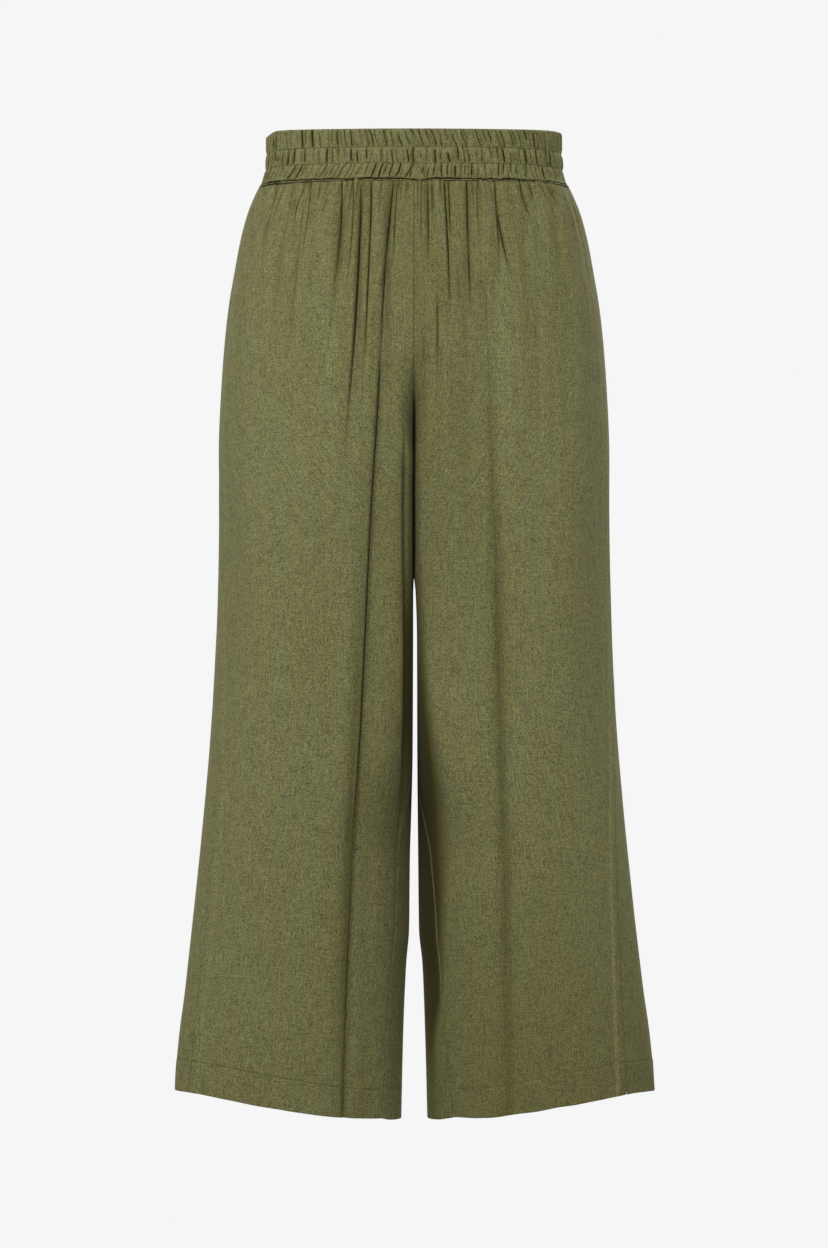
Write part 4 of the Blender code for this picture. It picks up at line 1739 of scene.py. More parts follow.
@dataclass(frozen=True)
class NodeBook:
    """Short ways to add and join the nodes of one tree."""

    tree: bpy.types.NodeTree

    def add(self, kind: str, **settings: object) -> bpy.types.Node:
        """Add a node and set its properties.

        Args:
            kind: The node's type name.
            **settings: Properties of the node.

        Returns:
            The node.
        """
        node = self.tree.nodes.new(kind)
        for key, value in settings.items():
            setattr(node, key, value)
        return node

    def join(self, source: Socket, target: Socket) -> None:
        """Link two sockets."""
        self.tree.links.new(source, target)

    def feed(self, socket: Socket, value: object) -> None:
        """Link an input to a socket, or set it to a value."""
        if isinstance(value, Socket):
            self.join(value, socket)
        else:
            socket.default_value = value

    def put(self, kind: str, given: dict[str | int, object], **settings: object) -> bpy.types.Node:
        """Add a node and feed its inputs.

        Args:
            kind: The node's type name.
            given: Sockets or values for its inputs, by name or number.
            **settings: Properties of the node.

        Returns:
            The node.
        """
        node = self.add(kind, **settings)
        for key, value in given.items():
            self.feed(node.inputs[key], value)
        return node

    def math(self, operation: str, *values: object, clamp: bool = False) -> Socket:
        """Add a Math node.

        Args:
            operation: What it works out.
            *values: Numbers or sockets for its inputs.
            clamp: Whether the result is held between 0 and 1.

        Returns:
            Its output.
        """
        node = self.add("ShaderNodeMath", operation=operation, use_clamp=clamp)
        for socket, value in zip(node.inputs, values):
            self.feed(socket, value)
        return node.outputs[0]

    def pair(self, first: Socket, second: Socket) -> Socket:
        """Join two values into coordinates."""
        return self.put("ShaderNodeCombineXYZ", {0: first, 1: second}).outputs[0]

    def noise(
        self, place: Socket, scale: Sequence[float], detail: float = 1.0
    ) -> Socket:
        """Add noise over a place that is first scaled along each axis.

        Args:
            place: Coordinates.
            scale: Cells for each metre along the two axes.
            detail: How many finer layers the noise has.

        Returns:
            The noise, about 0.5 on average.
        """
        scaled = {0: place, 1: (scale[0], scale[1], 1.0)}
        scaled = self.put("ShaderNodeVectorMath", scaled, operation="MULTIPLY").outputs[0]
        given = {"Scale": 1.0, "Detail": detail, "Vector": scaled}
        return self.put("ShaderNodeTexNoise", given, noise_dimensions="2D").outputs["Fac"]

    def blend(self, mode: str, share: object, first: object, second: object) -> Socket:
        """Add a colour Mix node.

        Args:
            mode: How the colours are blended.
            share: How much of the second colour is used, a number or a socket.
            first: The first colour, or a socket.
            second: The second colour, or a socket.

        Returns:
            The blended colour.
        """
        given = {0: share, 6: first, 7: second}
        return self.put("ShaderNodeMix", given, data_type="RGBA", blend_type=mode).outputs[2]

    def grey(self, light: Socket) -> Socket:
        """A grey of some brightness."""
        return self.put("ShaderNodeCombineColor", {0: light, 1: light, 2: light}).outputs[0]


@dataclass(frozen=True)
class SlubLinen:
    """Matt olive linen-blend plain weave with slubs both ways, read from the weave map."""

    name: str
    colour: Colour = (0.126, 0.124, 0.050, 1.0)
    brown: Colour = (0.131, 0.119, 0.047, 1.0)
    green: Colour = (0.121, 0.127, 0.056, 1.0)
    # Painted shade: the darker olive and the near-black that the 'crease' attribute mixes in, and how
    # much of the darker olive.
    painted_shade_colour: Colour = (0.042, 0.035, 0.004, 1.0)
    painted_deep_shade_colour: Colour = (0.006, 0.005, 0.0006, 1.0)
    painted_shade_share: float = 0.80
    thread: float = 0.00070
    streak: float = 55.0
    roughness: float = 0.9
    specular: float = 0.12
    sheen: float = 0.06
    sheen_roughness: float = 0.55
    sheen_tint: Colour = (0.80, 0.80, 0.50, 1.0)
    band_cells: tuple[float, float] = (85.0, 7.0)
    band_contrast: float = 3.0
    even_share: float = 0.35
    thread_shift: float = 0.731
    thread_relief: float = 0.35
    crossing_relief: float = 0.5
    bump_strength: float = 0.6
    bump_height: float = 0.00016
    line_width: float = 0.55
    pale_strength: float = 0.5
    crossing_strength: float = 0.95
    warp_strength: float = 0.65
    weft_strength: float = 0.40

    def make(self) -> bpy.types.Material:
        """Build the material.

        Returns:
            The material.
        """
        made, book, shader = new_material(self.name)
        weave = book.add("ShaderNodeUVMap", uv_map="weave").outputs["UV"]
        crease = self.shade(book)
        split = book.add("ShaderNodeSeparateXYZ")
        book.join(weave, split.inputs[0])
        side, height = split.outputs[0], split.outputs[1]
        warp_number = book.math("FLOOR", book.math("DIVIDE", side, self.thread))
        weft_number = book.math("FLOOR", book.math("DIVIDE", height, self.thread))

        crossing = book.add("ShaderNodeTexWhiteNoise", noise_dimensions="2D")
        book.join(book.pair(warp_number, weft_number), crossing.inputs["Vector"])
        crossing = book.math("SUBTRACT", crossing.outputs["Value"], 0.5)
        along_warp = book.pair(book.math("MULTIPLY", warp_number, self.thread_shift), height)
        along_weft = book.pair(side, book.math("MULTIPLY", weft_number, self.thread_shift))
        warp = book.math("SUBTRACT", book.noise(along_warp, (1.0, self.streak), 1.0), 0.5)
        weft = book.math("SUBTRACT", book.noise(along_weft, (self.streak, 1.0), 1.0), 0.5)
        light = book.math("MULTIPLY_ADD", crossing, self.crossing_strength, 1.0)
        light = book.math("MULTIPLY_ADD", warp, self.warp_strength, light)
        light = book.math("MULTIPLY_ADD", weft, self.weft_strength, light)
        # Below 0 the 'crease' attribute lightens the cloth: painted highlight on the side seam ridges,
        # painted light between the pleats, and the paler bare cord of the waist seam.
        pale = book.math("MINIMUM", crease, 0.0)
        light = book.math("MULTIPLY_ADD", pale, -self.pale_strength, light)

        bands = book.noise(weave, self.band_cells, 2.0)
        bands = book.math("MULTIPLY_ADD", bands, self.band_contrast, -1.0, clamp=True)
        tone = book.blend("MIX", bands, self.brown, self.green)
        tone = book.blend("MIX", self.even_share, tone, self.colour)
        colour = book.blend("MULTIPLY", 1.0, tone, book.grey(light))
        # Painted shade from the 'crease' attribute: up to 1 it mixes in a darker olive, above 1 a
        # near-black.
        shade = book.math("MULTIPLY", crease, self.painted_shade_share, clamp=True)
        colour = book.blend("MIX", shade, colour, self.painted_shade_colour)
        deep = book.math("SUBTRACT", crease, 1.0, clamp=True)
        colour = book.blend("MIX", deep, colour, self.painted_deep_shade_colour)
        book.join(colour, shader.inputs["Base Color"])

        threads = self.plain_weave(book, side, height)
        crossing = book.math("MULTIPLY", crossing, self.crossing_relief)
        relief = book.math("MULTIPLY_ADD", threads, self.thread_relief, crossing)
        relief = book.math("ADD", relief, book.math("ADD", warp, weft))
        bump = {"Strength": self.bump_strength, "Distance": self.bump_height, "Height": relief}
        finish = {
            "Normal": book.put("ShaderNodeBump", bump).outputs[0],
            "Roughness": self.roughness,
            "Specular IOR Level": self.specular,
            "Sheen Weight": self.sheen,
            "Sheen Roughness": self.sheen_roughness,
            "Sheen Tint": self.sheen_tint,
        }
        for name, value in finish.items():
            book.feed(shader.inputs[name], value)
        made.diffuse_color = self.colour
        return made

    def shade(self, book: NodeBook) -> Socket:
        """Painted shade of the cloth: its deep places, and a thin painted dark line along each crease.

        Args:
            book: The material's nodes.

        Returns:
            The painted shade, below 0 on painted highlights and the paler bare cord, up to 2 where it
            is darkest.
        """
        crease, line, mark = (
            book.add("ShaderNodeAttribute", attribute_name=name).outputs["Fac"]
            for name in ("crease", "line", "mark")
        )
        offset = book.math("DIVIDE", line, self.line_width)
        spread = book.math("MULTIPLY_ADD", offset, offset, 1.0)
        thin = book.math("DIVIDE", mark, book.math("MULTIPLY", spread, spread))
        return book.math("ADD", crease, thin)

    def plain_weave(
        self, book: NodeBook, side: Socket, height: Socket
    ) -> Socket:
        """Over-and-under relief of the warp and weft threads.

        Args:
            book: The material's nodes.
            side: Places across the cloth.
            height: Places along the warp.

        Returns:
            The relief, between -1 and 1.
        """
        turns = math.pi / self.thread
        warp = book.math("SINE", book.math("MULTIPLY", side, turns))
        weft = book.math("SINE", book.math("MULTIPLY", height, turns))
        return book.math("MULTIPLY", warp, weft)


@dataclass(frozen=True)
class SewingThread:
    """Twisted sewing thread, a little darker than the cloth."""

    name: str = "sewing_thread"
    colour: Colour = (0.050, 0.047, 0.017, 1.0)
    grain: float = 900.0
    roughness: float = 0.7

    def make(self) -> bpy.types.Material:
        """Build the material.

        Returns:
            The material.
        """
        made, book, shader = new_material(self.name)
        place = book.add("ShaderNodeTexCoord").outputs["Object"]
        noise = book.put("ShaderNodeTexNoise", {"Scale": self.grain, "Vector": place})
        light = book.math("MULTIPLY_ADD", noise.outputs["Fac"], 0.7, 0.65)
        colour = book.blend("MULTIPLY", 1.0, self.colour, book.grey(light))
        book.join(colour, shader.inputs["Base Color"])
        shader.inputs["Roughness"].default_value = self.roughness
        made.diffuse_color = self.colour
        return made


@dataclass
class Stitching:
    """Rows of straight stitches laid along lines by Geometry Nodes."""

    pitch: float = 0.0026
    share: float = 0.78
    lengths: tuple[float, float] = (0.88, 1.10)
    thread_radius: float = 0.00020
    lift: float = 0.00005
    seed: int = 5
    tree: bpy.types.NodeTree | None = field(default=None, repr=False)

    def make_tree(self) -> bpy.types.NodeTree:
        """Build the tree that sets a stitch on each step of a line.

        Returns:
            The node group.
        """
        tree = bpy.data.node_groups.new("straight_stitches", "GeometryNodeTree")
        face = tree.interface
        face.new_socket("Geometry", in_out="INPUT", socket_type="NodeSocketGeometry")
        for name in ("Pitch", "Stitch Share", "Thread Radius", "Lift"):
            face.new_socket(name, in_out="INPUT", socket_type="NodeSocketFloat")
        face.new_socket("Seed", in_out="INPUT", socket_type="NodeSocketInt")
        face.new_socket("Thread", in_out="INPUT", socket_type="NodeSocketMaterial")
        face.new_socket("Geometry", in_out="OUTPUT", socket_type="NodeSocketGeometry")
        book = NodeBook(tree)
        given = book.add("NodeGroupInput").outputs
        line = book.put("GeometryNodeMeshToCurve", {"Mesh": given["Geometry"]}).outputs[0]
        spaced = {"Curve": line, "Length": given["Pitch"]}
        spaced = book.put("GeometryNodeResampleCurve", spaced, mode="LENGTH").outputs[0]
        capsule = {"Segments": 8, "Rings": 5, "Radius": 1.0}
        capsule = book.put("GeometryNodeMeshUVSphere", capsule).outputs["Mesh"]
        facing = {"Name": "facing"}
        facing = book.put("GeometryNodeInputNamedAttribute", facing, data_type="FLOAT_VECTOR")
        facing = facing.outputs["Attribute"]
        turned = {"Vector": book.add("GeometryNodeInputTangent").outputs[0]}
        turned = book.put("FunctionNodeAlignRotationToVector", turned, axis="X").outputs[0]
        turned = {"Rotation": turned, "Vector": facing}
        turned = book.put("FunctionNodeAlignRotationToVector", turned, axis="Z", pivot_axis="X")
        half = book.math("MULTIPLY", book.math("MULTIPLY", given["Pitch"], given["Stitch Share"]), 0.5)
        shortest, longest = self.lengths
        random = {2: shortest, 3: longest, "Seed": given["Seed"]}
        random = book.put("FunctionNodeRandomValue", random, data_type="FLOAT").outputs[1]
        radius = given["Thread Radius"]
        size = {0: book.math("MULTIPLY", half, random), 1: radius, 2: radius}
        shift = {0: facing, "Scale": given["Lift"]}
        shift = book.put("ShaderNodeVectorMath", shift, operation="SCALE").outputs[0]
        moved = book.put("GeometryNodeSetPosition", {"Geometry": spaced, "Offset": shift})
        placed = {
            "Points": moved.outputs[0],
            "Instance": capsule,
            "Rotation": turned.outputs[0],
            "Scale": book.put("ShaderNodeCombineXYZ", size).outputs[0],
        }
        placed = book.put("GeometryNodeInstanceOnPoints", placed).outputs[0]
        real = book.put("GeometryNodeRealizeInstances", {0: placed}).outputs[0]
        dressed = {"Geometry": real, "Material": given["Thread"]}
        dressed = book.put("GeometryNodeSetMaterial", dressed).outputs[0]
        book.put("NodeGroupOutput", {0: dressed})
        return tree

    def row(
        self,
        name: str,
        lines: Sequence[tuple[Array, Array]],
        closed: bool,
        thread: bpy.types.Material,
    ) -> bpy.types.Object:
        """Sew one row.

        Args:
            name: Name of the piece.
            lines: The row's stretches, each as points and the cloth's normals.
            closed: Whether each stretch closes on itself.
            thread: The thread's material.

        Returns:
            The stitches as one plain mesh.
        """
        self.tree = self.tree or self.make_tree()
        points = np.concatenate([line for line, _ in lines])
        facing = np.concatenate([normal for _, normal in lines])
        edges: list[tuple[int, int]] = []
        first = 0
        for line, _ in lines:
            count = len(line)
            edges += [(first + k, first + k + 1) for k in range(count - 1)]
            edges += [(first + count - 1, first)] if closed else []
            first += count
        path = bpy.data.meshes.new(name + "_path")
        path.from_pydata(points.tolist(), edges, [])
        attribute = path.attributes.new("facing", "FLOAT_VECTOR", "POINT")
        attribute.data.foreach_set("vector", facing.astype(np.float32).reshape(-1))
        draft = add_object(name + "_path", path)
        modifier = draft.modifiers.new("stitches", "NODES")
        modifier.node_group = self.tree
        given = {
            "Pitch": self.pitch,
            "Stitch Share": self.share,
            "Thread Radius": self.thread_radius,
            "Lift": self.lift,
            "Seed": self.seed,
            "Thread": thread,
        }
        for item in self.tree.interface.items_tree:
            if item.in_out == "INPUT" and item.name in given:
                modifier[item.identifier] = given[item.name]
        evaluated = draft.evaluated_get(bpy.context.evaluated_depsgraph_get())
        mesh = bpy.data.meshes.new_from_object(evaluated)
        mesh.name = name
        mesh.shade_smooth()
        bpy.data.objects.remove(draft, do_unlink=True)
        return add_object(name, mesh)


@dataclass
class Studio:
    """Pale floor, soft lights, bright surroundings and the camera."""

    camera_distance: float = 5.0
    camera_height: float = -0.401
    view_height: float = 1.0858
    sensor: float = 36.0
    backdrop: float = 0.922
    surround: float = 0.225
    floor_height: float = -1.60
    floor_radius: float = 0.85
    floor_corners: int = 96
    floor_grey: float = 0.46
    floor_roughness: float = 0.9
    aim: tuple[float, float, float] = (0.0, 0.0, -0.40)
    lamps: tuple[Lamp, ...] = (
        Lamp("key", (-1.25, -2.5, 1.55), 1.8, 105.0),
        Lamp("fill", (1.2, -3.2, 1.1), 2.4, 65.0),
        Lamp("back_key", (1.25, 2.5, 1.55), 1.8, 94.0),
        Lamp("back_fill", (-1.2, 3.2, 1.1), 2.4, 59.0),
        Lamp("left_side", (-3.0, 0.0, 0.4), 2.6, 33.0),
        Lamp("right_side", (3.0, 0.0, 0.4), 2.6, 34.0),
    )

    def build(self) -> None:
        """Set up everything round the garment."""
        self.make_world()
        self.make_floor()
        for lamp in self.lamps:
            self.make_light(lamp)
        self.make_camera()
        bpy.context.scene.view_settings.view_transform = "Standard"

    def make_world(self) -> None:
        """Bright even background, which lights the garment a little less than it shows."""
        world = bpy.data.worlds.new("studio")
        bpy.context.scene.world = world
        world.use_nodes = True
        book = NodeBook(world.node_tree)
        world.node_tree.nodes.clear()
        seen = book.add("ShaderNodeBackground")
        seen.inputs[0].default_value = (self.backdrop, self.backdrop, self.backdrop, 1.0)
        lighting = book.add("ShaderNodeBackground")
        lighting.inputs[0].default_value = (1.0, 1.0, 1.0, 1.0)
        lighting.inputs[1].default_value = self.surround
        mix = book.add("ShaderNodeMixShader")
        book.join(book.add("ShaderNodeLightPath").outputs["Is Camera Ray"], mix.inputs[0])
        book.join(lighting.outputs[0], mix.inputs[1])
        book.join(seen.outputs[0], mix.inputs[2])
        book.join(mix.outputs[0], book.add("ShaderNodeOutputWorld").inputs[0])

    def make_floor(self) -> None:
        """Round pale floor below the hems."""
        angles = np.linspace(0.0, 2 * math.pi, self.floor_corners + 1)[:-1]
        radius = self.floor_radius
        rim = [(radius * math.cos(a), radius * math.sin(a), self.floor_height) for a in angles]
        mesh = bpy.data.meshes.new("floor")
        mesh.from_pydata(rim, [], [list(range(len(rim)))])
        floor = add_object("floor", mesh)
        material, _, shader = new_material("pale_floor")
        grey = self.floor_grey
        shader.inputs["Base Color"].default_value = (grey, grey, grey, 1.0)
        shader.inputs["Roughness"].default_value = self.floor_roughness
        mesh.materials.append(material)

    def make_light(self, lamp: Lamp) -> None:
        """Add a soft square light that faces the garment.

        Args:
            lamp: The light.
        """
        light = bpy.data.lights.new(lamp.name, "AREA")
        light.size = lamp.size
        light.energy = lamp.watts
        made = add_object(lamp.name, light)
        made.location = lamp.place
        made.visible_camera = False
        towards = Vector(self.aim) - Vector(lamp.place)
        made.rotation_euler = towards.to_track_quat("-Z", "Y").to_euler()

    def make_camera(self) -> None:
        """Level camera in front of the garment."""
        data = bpy.data.cameras.new("camera")
        data.sensor_width = self.sensor
        data.lens = self.sensor * self.camera_distance / self.view_height
        camera = add_object("camera", data)
        camera.location = (0.0, -self.camera_distance, self.camera_height)
        camera.rotation_euler = (math.pi / 2, 0.0, 0.0)
        bpy.context.scene.camera = camera


FRONT_LEFT_FOLDS = (
    Fold(0.0200, 0.0434, 0.0668, 0.000, 1.200, 0.0070, 0.012),
    Fold(0.0350, 0.0600, 0.0840, 0.050, 1.200, -0.0026, 0.013),
    Fold(0.0375, 0.0410, 0.0440, 0.000, 0.330, 0.0024, 0.007),
    Fold(0.0465, 0.0520, 0.0610, 0.000, 0.420, 0.0026, 0.008),
    Fold(0.0620, 0.0655, 0.0690, 0.000, 0.155, 0.0020, 0.007),
    Fold(0.1250, 0.1350, 0.1500, 0.300, 1.200, 0.0022, 0.030),
)
FRONT_RIGHT_FOLDS = (
    Fold(0.0115, 0.0130, 0.0135, 0.000, 0.120, 0.0016, 0.006),
    Fold(0.0270, 0.0306, 0.0312, 0.000, 0.210, 0.0026, 0.008),
    Fold(0.0445, 0.0478, 0.0490, 0.005, 0.170, 0.0020, 0.007),
    Fold(0.0695, 0.0738, 0.0750, 0.000, 0.150, 0.0022, 0.008),
    Fold(0.0630, 0.0765, 0.0860, 0.110, 1.200, 0.0046, 0.012),
    Fold(0.0800, 0.0940, 0.1040, 0.180, 1.200, -0.0018, 0.014),
)
BACK_LEFT_FOLDS = (
    Fold(0.0240, 0.0450, 0.0550, 0.000, 0.520, 0.0046, 0.009),
    Fold(0.0550, 0.0800, 0.0920, 0.000, 1.200, 0.0056, 0.012),
    Fold(0.0720, 0.0970, 0.1100, 0.080, 1.200, -0.0025, 0.014),
    Fold(0.0850, 0.0920, 0.0960, 0.000, 0.250, 0.0050, 0.008),
    Fold(0.1300, 0.1400, 0.1520, 0.350, 1.200, 0.0030, 0.028),
)
BACK_RIGHT_FOLDS = (
    Fold(0.0320, 0.0550, 0.0700, 0.000, 1.200, 0.0078, 0.012),
    Fold(0.0480, 0.0720, 0.0880, 0.060, 1.200, -0.0026, 0.014),
    Fold(0.0620, 0.0740, 0.0800, 0.000, 0.400, 0.0055, 0.009),
    Fold(0.0880, 0.0940, 0.0980, 0.000, 0.230, 0.0048, 0.008),
    Fold(0.1200, 0.1320, 0.1450, 0.300, 1.200, 0.0028, 0.030),
)


FRONT_LEFT_CREASES = (
    Fold(0.0617, 0.0645, 0.0697, 0.000, 0.132, 0.0026, 0.0012, 0.5),
    Fold(0.0665, 0.0690, 0.0708, 0.090, 0.164, 0.0014, 0.0050),
    Fold(0.0571, 0.0571, 0.0571, 0.000, 0.031, 0.0008, 0.0010),
    Fold(0.0519, 0.0536, 0.0601, 0.000, 0.138, 0.0016, 0.0010),
    Fold(0.0452, 0.0509, 0.0617, 0.000, 0.329, 0.0036, 0.0012, 0.5),
    Fold(0.0597, 0.0636, 0.0665, 0.299, 0.414, 0.0012, 0.0060),
    Fold(0.0367, 0.0400, 0.0458, 0.000, 0.260, 0.0032, 0.0011, -0.4),
    Fold(0.0174, 0.0257, 0.0288, 0.000, 0.221, 0.0026, 0.0012, 0.4),
    Fold(0.0286, 0.0498, 0.0704, 0.190, 1.250, 0.0030, 0.0013, 0.7),
    Fold(0.0390, 0.0580, 0.0510, 0.380, 1.500, 0.0027, 0.0065),
    Fold(0.0360, 0.0430, 0.0430, 0.400, 1.600, 0.0010, 0.0070),
    Fold(0.0450, 0.0480, 0.0590, 0.000, 0.340, 0.0012, 0.0040),
    Fold(0.0245, 0.0235, 0.0210, 0.000, 0.340, 0.0011, 0.0040),
    Fold(0.0140, 0.0169, 0.0181, 0.000, 0.113, 0.0016, 0.0010),
    Fold(0.0102, 0.0115, 0.0128, 0.000, 0.029, 0.0010, 0.0009),
    Fold(0.0068, 0.0068, 0.0068, 0.000, 0.031, 0.0008, 0.0009),
    Fold(0.1190, 0.1271, 0.1360, 0.000, 0.082, 0.0014, 0.0016),
    Fold(0.1112, 0.1209, 0.1290, 0.000, 0.070, 0.0012, 0.0018),
    Fold(0.1034, 0.1123, 0.1233, 0.000, 0.119, 0.0012, 0.0020),
    Fold(0.0911, 0.1017, 0.1021, 0.000, 0.054, 0.0018, 0.0013),
    Fold(0.0885, 0.0932, 0.1001, 0.000, 0.111, 0.0014, 0.0017),
    Fold(0.0816, 0.0816, 0.0816, 0.000, 0.026, 0.0009, 0.0012),
    Fold(0.0741, 0.0775, 0.0801, 0.000, 0.059, 0.0010, 0.0018),
    Fold(0.1070, 0.1180, 0.1290, 0.010, 0.220, 0.0012, 0.0036),
    Fold(0.0940, 0.1015, 0.1090, 0.000, 0.210, 0.0016, 0.0028),
    Fold(0.0590, 0.0680, 0.0800, 0.010, 0.240, 0.0016, 0.0028),
)
FRONT_RIGHT_CREASES = (
    Fold(0.0060, 0.0062, 0.0064, 0.000, 0.090, 0.0012, 0.0009),
    Fold(0.0152, 0.0157, 0.0160, 0.000, 0.050, 0.0014, 0.0009),
    Fold(0.0117, 0.0124, 0.0125, 0.000, 0.101, 0.0018, 0.0010, -0.5),
    Fold(0.0145, 0.0156, 0.0168, 0.023, 0.140, 0.0010, 0.0035),
    Fold(0.0256, 0.0295, 0.0309, 0.000, 0.164, 0.0028, 0.0012, -0.5),
    Fold(0.0293, 0.0308, 0.0315, 0.000, 0.071, 0.0022, 0.0011),
    Fold(0.0367, 0.0380, 0.0398, 0.077, 0.149, 0.0018, 0.0028),
    Fold(0.0200, 0.0200, 0.0200, 0.121, 0.231, 0.0014, 0.0016),
    Fold(0.0452, 0.0472, 0.0497, 0.000, 0.169, 0.0026, 0.0012, -0.5),
    Fold(0.0507, 0.0503, 0.0499, 0.000, 0.028, 0.0014, 0.0012),
    Fold(0.0537, 0.0549, 0.0564, 0.000, 0.075, 0.0014, 0.0010),
    Fold(0.0571, 0.0578, 0.0557, 0.082, 0.149, 0.0014, 0.0030),
    Fold(0.0692, 0.0728, 0.0743, 0.000, 0.103, 0.0028, 0.0012, -0.5),
    Fold(0.0717, 0.0773, 0.0845, 0.026, 0.116, 0.0026, 0.0018),
    Fold(0.0620, 0.0620, 0.0620, 0.000, 0.037, 0.0008, 0.0009),
    Fold(0.0803, 0.0805, 0.0807, 0.000, 0.022, 0.0008, 0.0010),
    Fold(0.0905, 0.0956, 0.1044, 0.000, 0.052, 0.0028, 0.0013, -0.4),
    Fold(0.0917, 0.0928, 0.0940, 0.017, 0.039, 0.0010, 0.0012),
    Fold(0.0971, 0.1021, 0.1021, 0.000, 0.027, 0.0018, 0.0011),
    Fold(0.1071, 0.1129, 0.1181, 0.000, 0.027, 0.0012, 0.0012),
    Fold(0.1134, 0.1200, 0.1266, 0.000, 0.028, 0.0016, 0.0012),
    Fold(0.1210, 0.1263, 0.1317, 0.000, 0.028, 0.0010, 0.0010),
    Fold(0.0645, 0.0775, 0.0835, 0.151, 1.400, 0.0026, 0.0075),
    Fold(0.0503, 0.0511, 0.0519, 0.164, 0.268, 0.0008, 0.0030),
    Fold(0.0500, 0.0440, 0.0540, 0.000, 0.560, 0.0014, 0.0090),
    Fold(0.0900, 0.0980, 0.1060, 0.000, 0.300, 0.0010, 0.0050),
    Fold(0.0090, 0.0090, 0.0085, 0.120, 0.360, 0.0012, 0.0035),
)
BACK_LEFT_CREASES = (
    Fold(0.0090, 0.0120, 0.0140, 0.000, 0.060, 0.0012, 0.0010, 0.3),
    Fold(0.0230, 0.0300, 0.0390, 0.000, 0.230, 0.0026, 0.0012, 0.5),
    Fold(0.0330, 0.0370, 0.0410, 0.000, 0.120, 0.0018, 0.0011),
    Fold(0.0440, 0.0470, 0.0530, 0.000, 0.080, 0.0014, 0.0010, -0.3),
    Fold(0.0540, 0.0640, 0.0740, 0.000, 0.420, 0.0028, 0.0012, 0.5),
    Fold(0.0740, 0.0820, 0.0880, 0.400, 0.960, 0.0016, 0.0022, 0.3),
    Fold(0.0670, 0.0720, 0.0790, 0.000, 0.100, 0.0018, 0.0011),
    Fold(0.0840, 0.0890, 0.0940, 0.000, 0.190, 0.0024, 0.0012, 0.4),
    Fold(0.0930, 0.0960, 0.1000, 0.000, 0.050, 0.0014, 0.0010),
    Fold(0.1020, 0.1090, 0.1160, 0.000, 0.090, 0.0014, 0.0018),
    Fold(0.1110, 0.1170, 0.1250, 0.000, 0.040, 0.0014, 0.0012),
    Fold(0.1180, 0.1260, 0.1350, 0.000, 0.070, 0.0012, 0.0016),
)
BACK_RIGHT_CREASES = (
    Fold(0.0070, 0.0090, 0.0100, 0.000, 0.040, 0.0010, 0.0010),
    Fold(0.0180, 0.0220, 0.0270, 0.000, 0.150, 0.0022, 0.0011, -0.4),
    Fold(0.0310, 0.0400, 0.0500, 0.000, 0.450, 0.0030, 0.0012, -0.5),
    Fold(0.0480, 0.0570, 0.0640, 0.420, 0.900, 0.0018, 0.0022, -0.3),
    Fold(0.0420, 0.0450, 0.0480, 0.000, 0.090, 0.0016, 0.0011),
    Fold(0.0610, 0.0670, 0.0730, 0.000, 0.280, 0.0026, 0.0012, -0.5),
    Fold(0.0680, 0.0700, 0.0740, 0.000, 0.060, 0.0014, 0.0010),
    Fold(0.0780, 0.0810, 0.0860, 0.000, 0.100, 0.0016, 0.0012),
    Fold(0.0870, 0.0920, 0.0970, 0.000, 0.180, 0.0022, 0.0012, -0.4),
    Fold(0.1000, 0.1060, 0.1110, 0.000, 0.060, 0.0014, 0.0013),
    Fold(0.1090, 0.1170, 0.1240, 0.000, 0.100, 0.0012, 0.0018),
    Fold(0.1190, 0.1250, 0.1310, 0.000, 0.040, 0.0014, 0.0012),
)


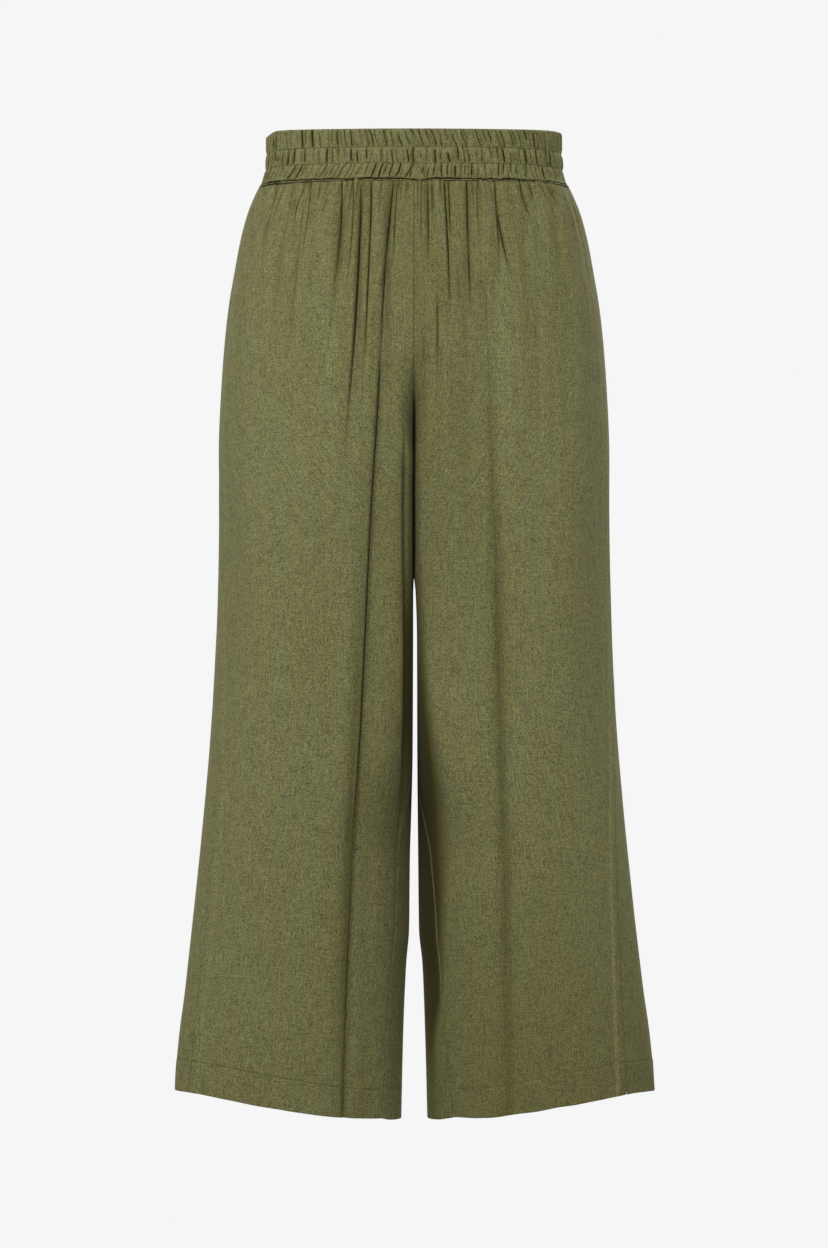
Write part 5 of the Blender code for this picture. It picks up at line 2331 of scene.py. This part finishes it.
@dataclass
class Culottes:
    """The whole garment: waistband, leg panels and their stitching."""

    form: GarmentForm = field(default_factory=GarmentForm)
    stitching: Stitching = field(default_factory=Stitching)
    front_cut: tuple[float, float] = (0.33, 0.84)
    back_cut: tuple[float, float] = (0.39, 0.84)
    front_fill: float = 0.67
    back_fill: float = 0.80
    band_cut: tuple[float, float] = (0.98, 0.045)

    def panels(self) -> list[LegPanel]:
        """The four leg panels.

        Returns:
            Their descriptions, ready to build.
        """
        left, right = Side.LEFT, Side.RIGHT
        front, back = Face.FRONT, Face.BACK
        form = self.form
        return [
            LegPanel(form, left, front, FRONT_LEFT_FOLDS, FRONT_LEFT_CREASES, Gathers(11, 0.15), 11),
            LegPanel(form, right, front, FRONT_RIGHT_FOLDS, FRONT_RIGHT_CREASES, Gathers(11, 0.55), 12),
            LegPanel(form, left, back, BACK_LEFT_FOLDS, BACK_LEFT_CREASES, Gathers(12, 0.35), 13),
            LegPanel(form, right, back, BACK_RIGHT_FOLDS, BACK_RIGHT_CREASES, Gathers(12, 0.80), 14),
        ]

    def build(self) -> None:
        """Build and dress every piece."""
        leg_cloth = SlubLinen("leg_linen").make()
        band_cloth = SlubLinen("band_linen", line_width=0.66).make()
        thread = SewingThread().make()
        band = Waistband(self.form)
        band_piece = band.build()
        self.settle(band_piece, band_cloth, "waistband")
        rows = [
            self.sew(f"band_stitches_{k}", [band.stitch_path(band_piece, k)], True, thread)
            for k in (1, 2)
        ]
        hems: dict[Side, list[tuple[Array, Array]]] = {Side.LEFT: [], Side.RIGHT: []}
        cloths: dict[Side, list[bpy.types.Object]] = {Side.LEFT: [], Side.RIGHT: []}
        for panel in self.panels():
            made = panel.build()
            self.settle(made, leg_cloth, panel.name)
            hems[panel.side].append(panel.stitch_line)
            cloths[panel.side].append(made)
        for side in Side:
            name = f"hem_stitches_{side.name.lower()}"
            stitches = self.sew(name, hems[side], False, thread)

    def settle(self, made: bpy.types.Object, cloth: bpy.types.Material, node: str) -> None:
        """Dress a cloth piece and put it in its CAD node's place.

        Args:
            made: The piece.
            cloth: Its material.
            node: The CAD node it stands for.
        """
        made.data.materials.append(cloth)
        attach(made, "root")
        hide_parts(node)
        LOG.info("%s: %d points, %d faces", made.name, len(made.data.vertices), len(made.data.polygons))

    def sew(
        self,
        name: str,
        lines: Sequence[tuple[Array, Array]],
        closed: bool,
        thread: bpy.types.Material,
    ) -> bpy.types.Object:
        """Sew a row of stitches and put it on the garment.

        Args:
            name: Name of the row.
            lines: Its stretches, as points and normals.
            closed: Whether each stretch closes on itself.
            thread: The thread's material.

        Returns:
            The row's object.
        """
        made = self.stitching.row(name, lines, closed, thread)
        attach(made, "root")
        LOG.info("%s: %d faces", made.name, len(made.data.polygons))
        return made


def main() -> None:
    """Load the frame, and build the garment and the studio."""
    logging.basicConfig(level=logging.INFO, format="%(name)s: %(message)s")
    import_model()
    Culottes().build()
    Studio().build()
    LOG.info("all pieces built")


if __name__ == "__main__":
    main()
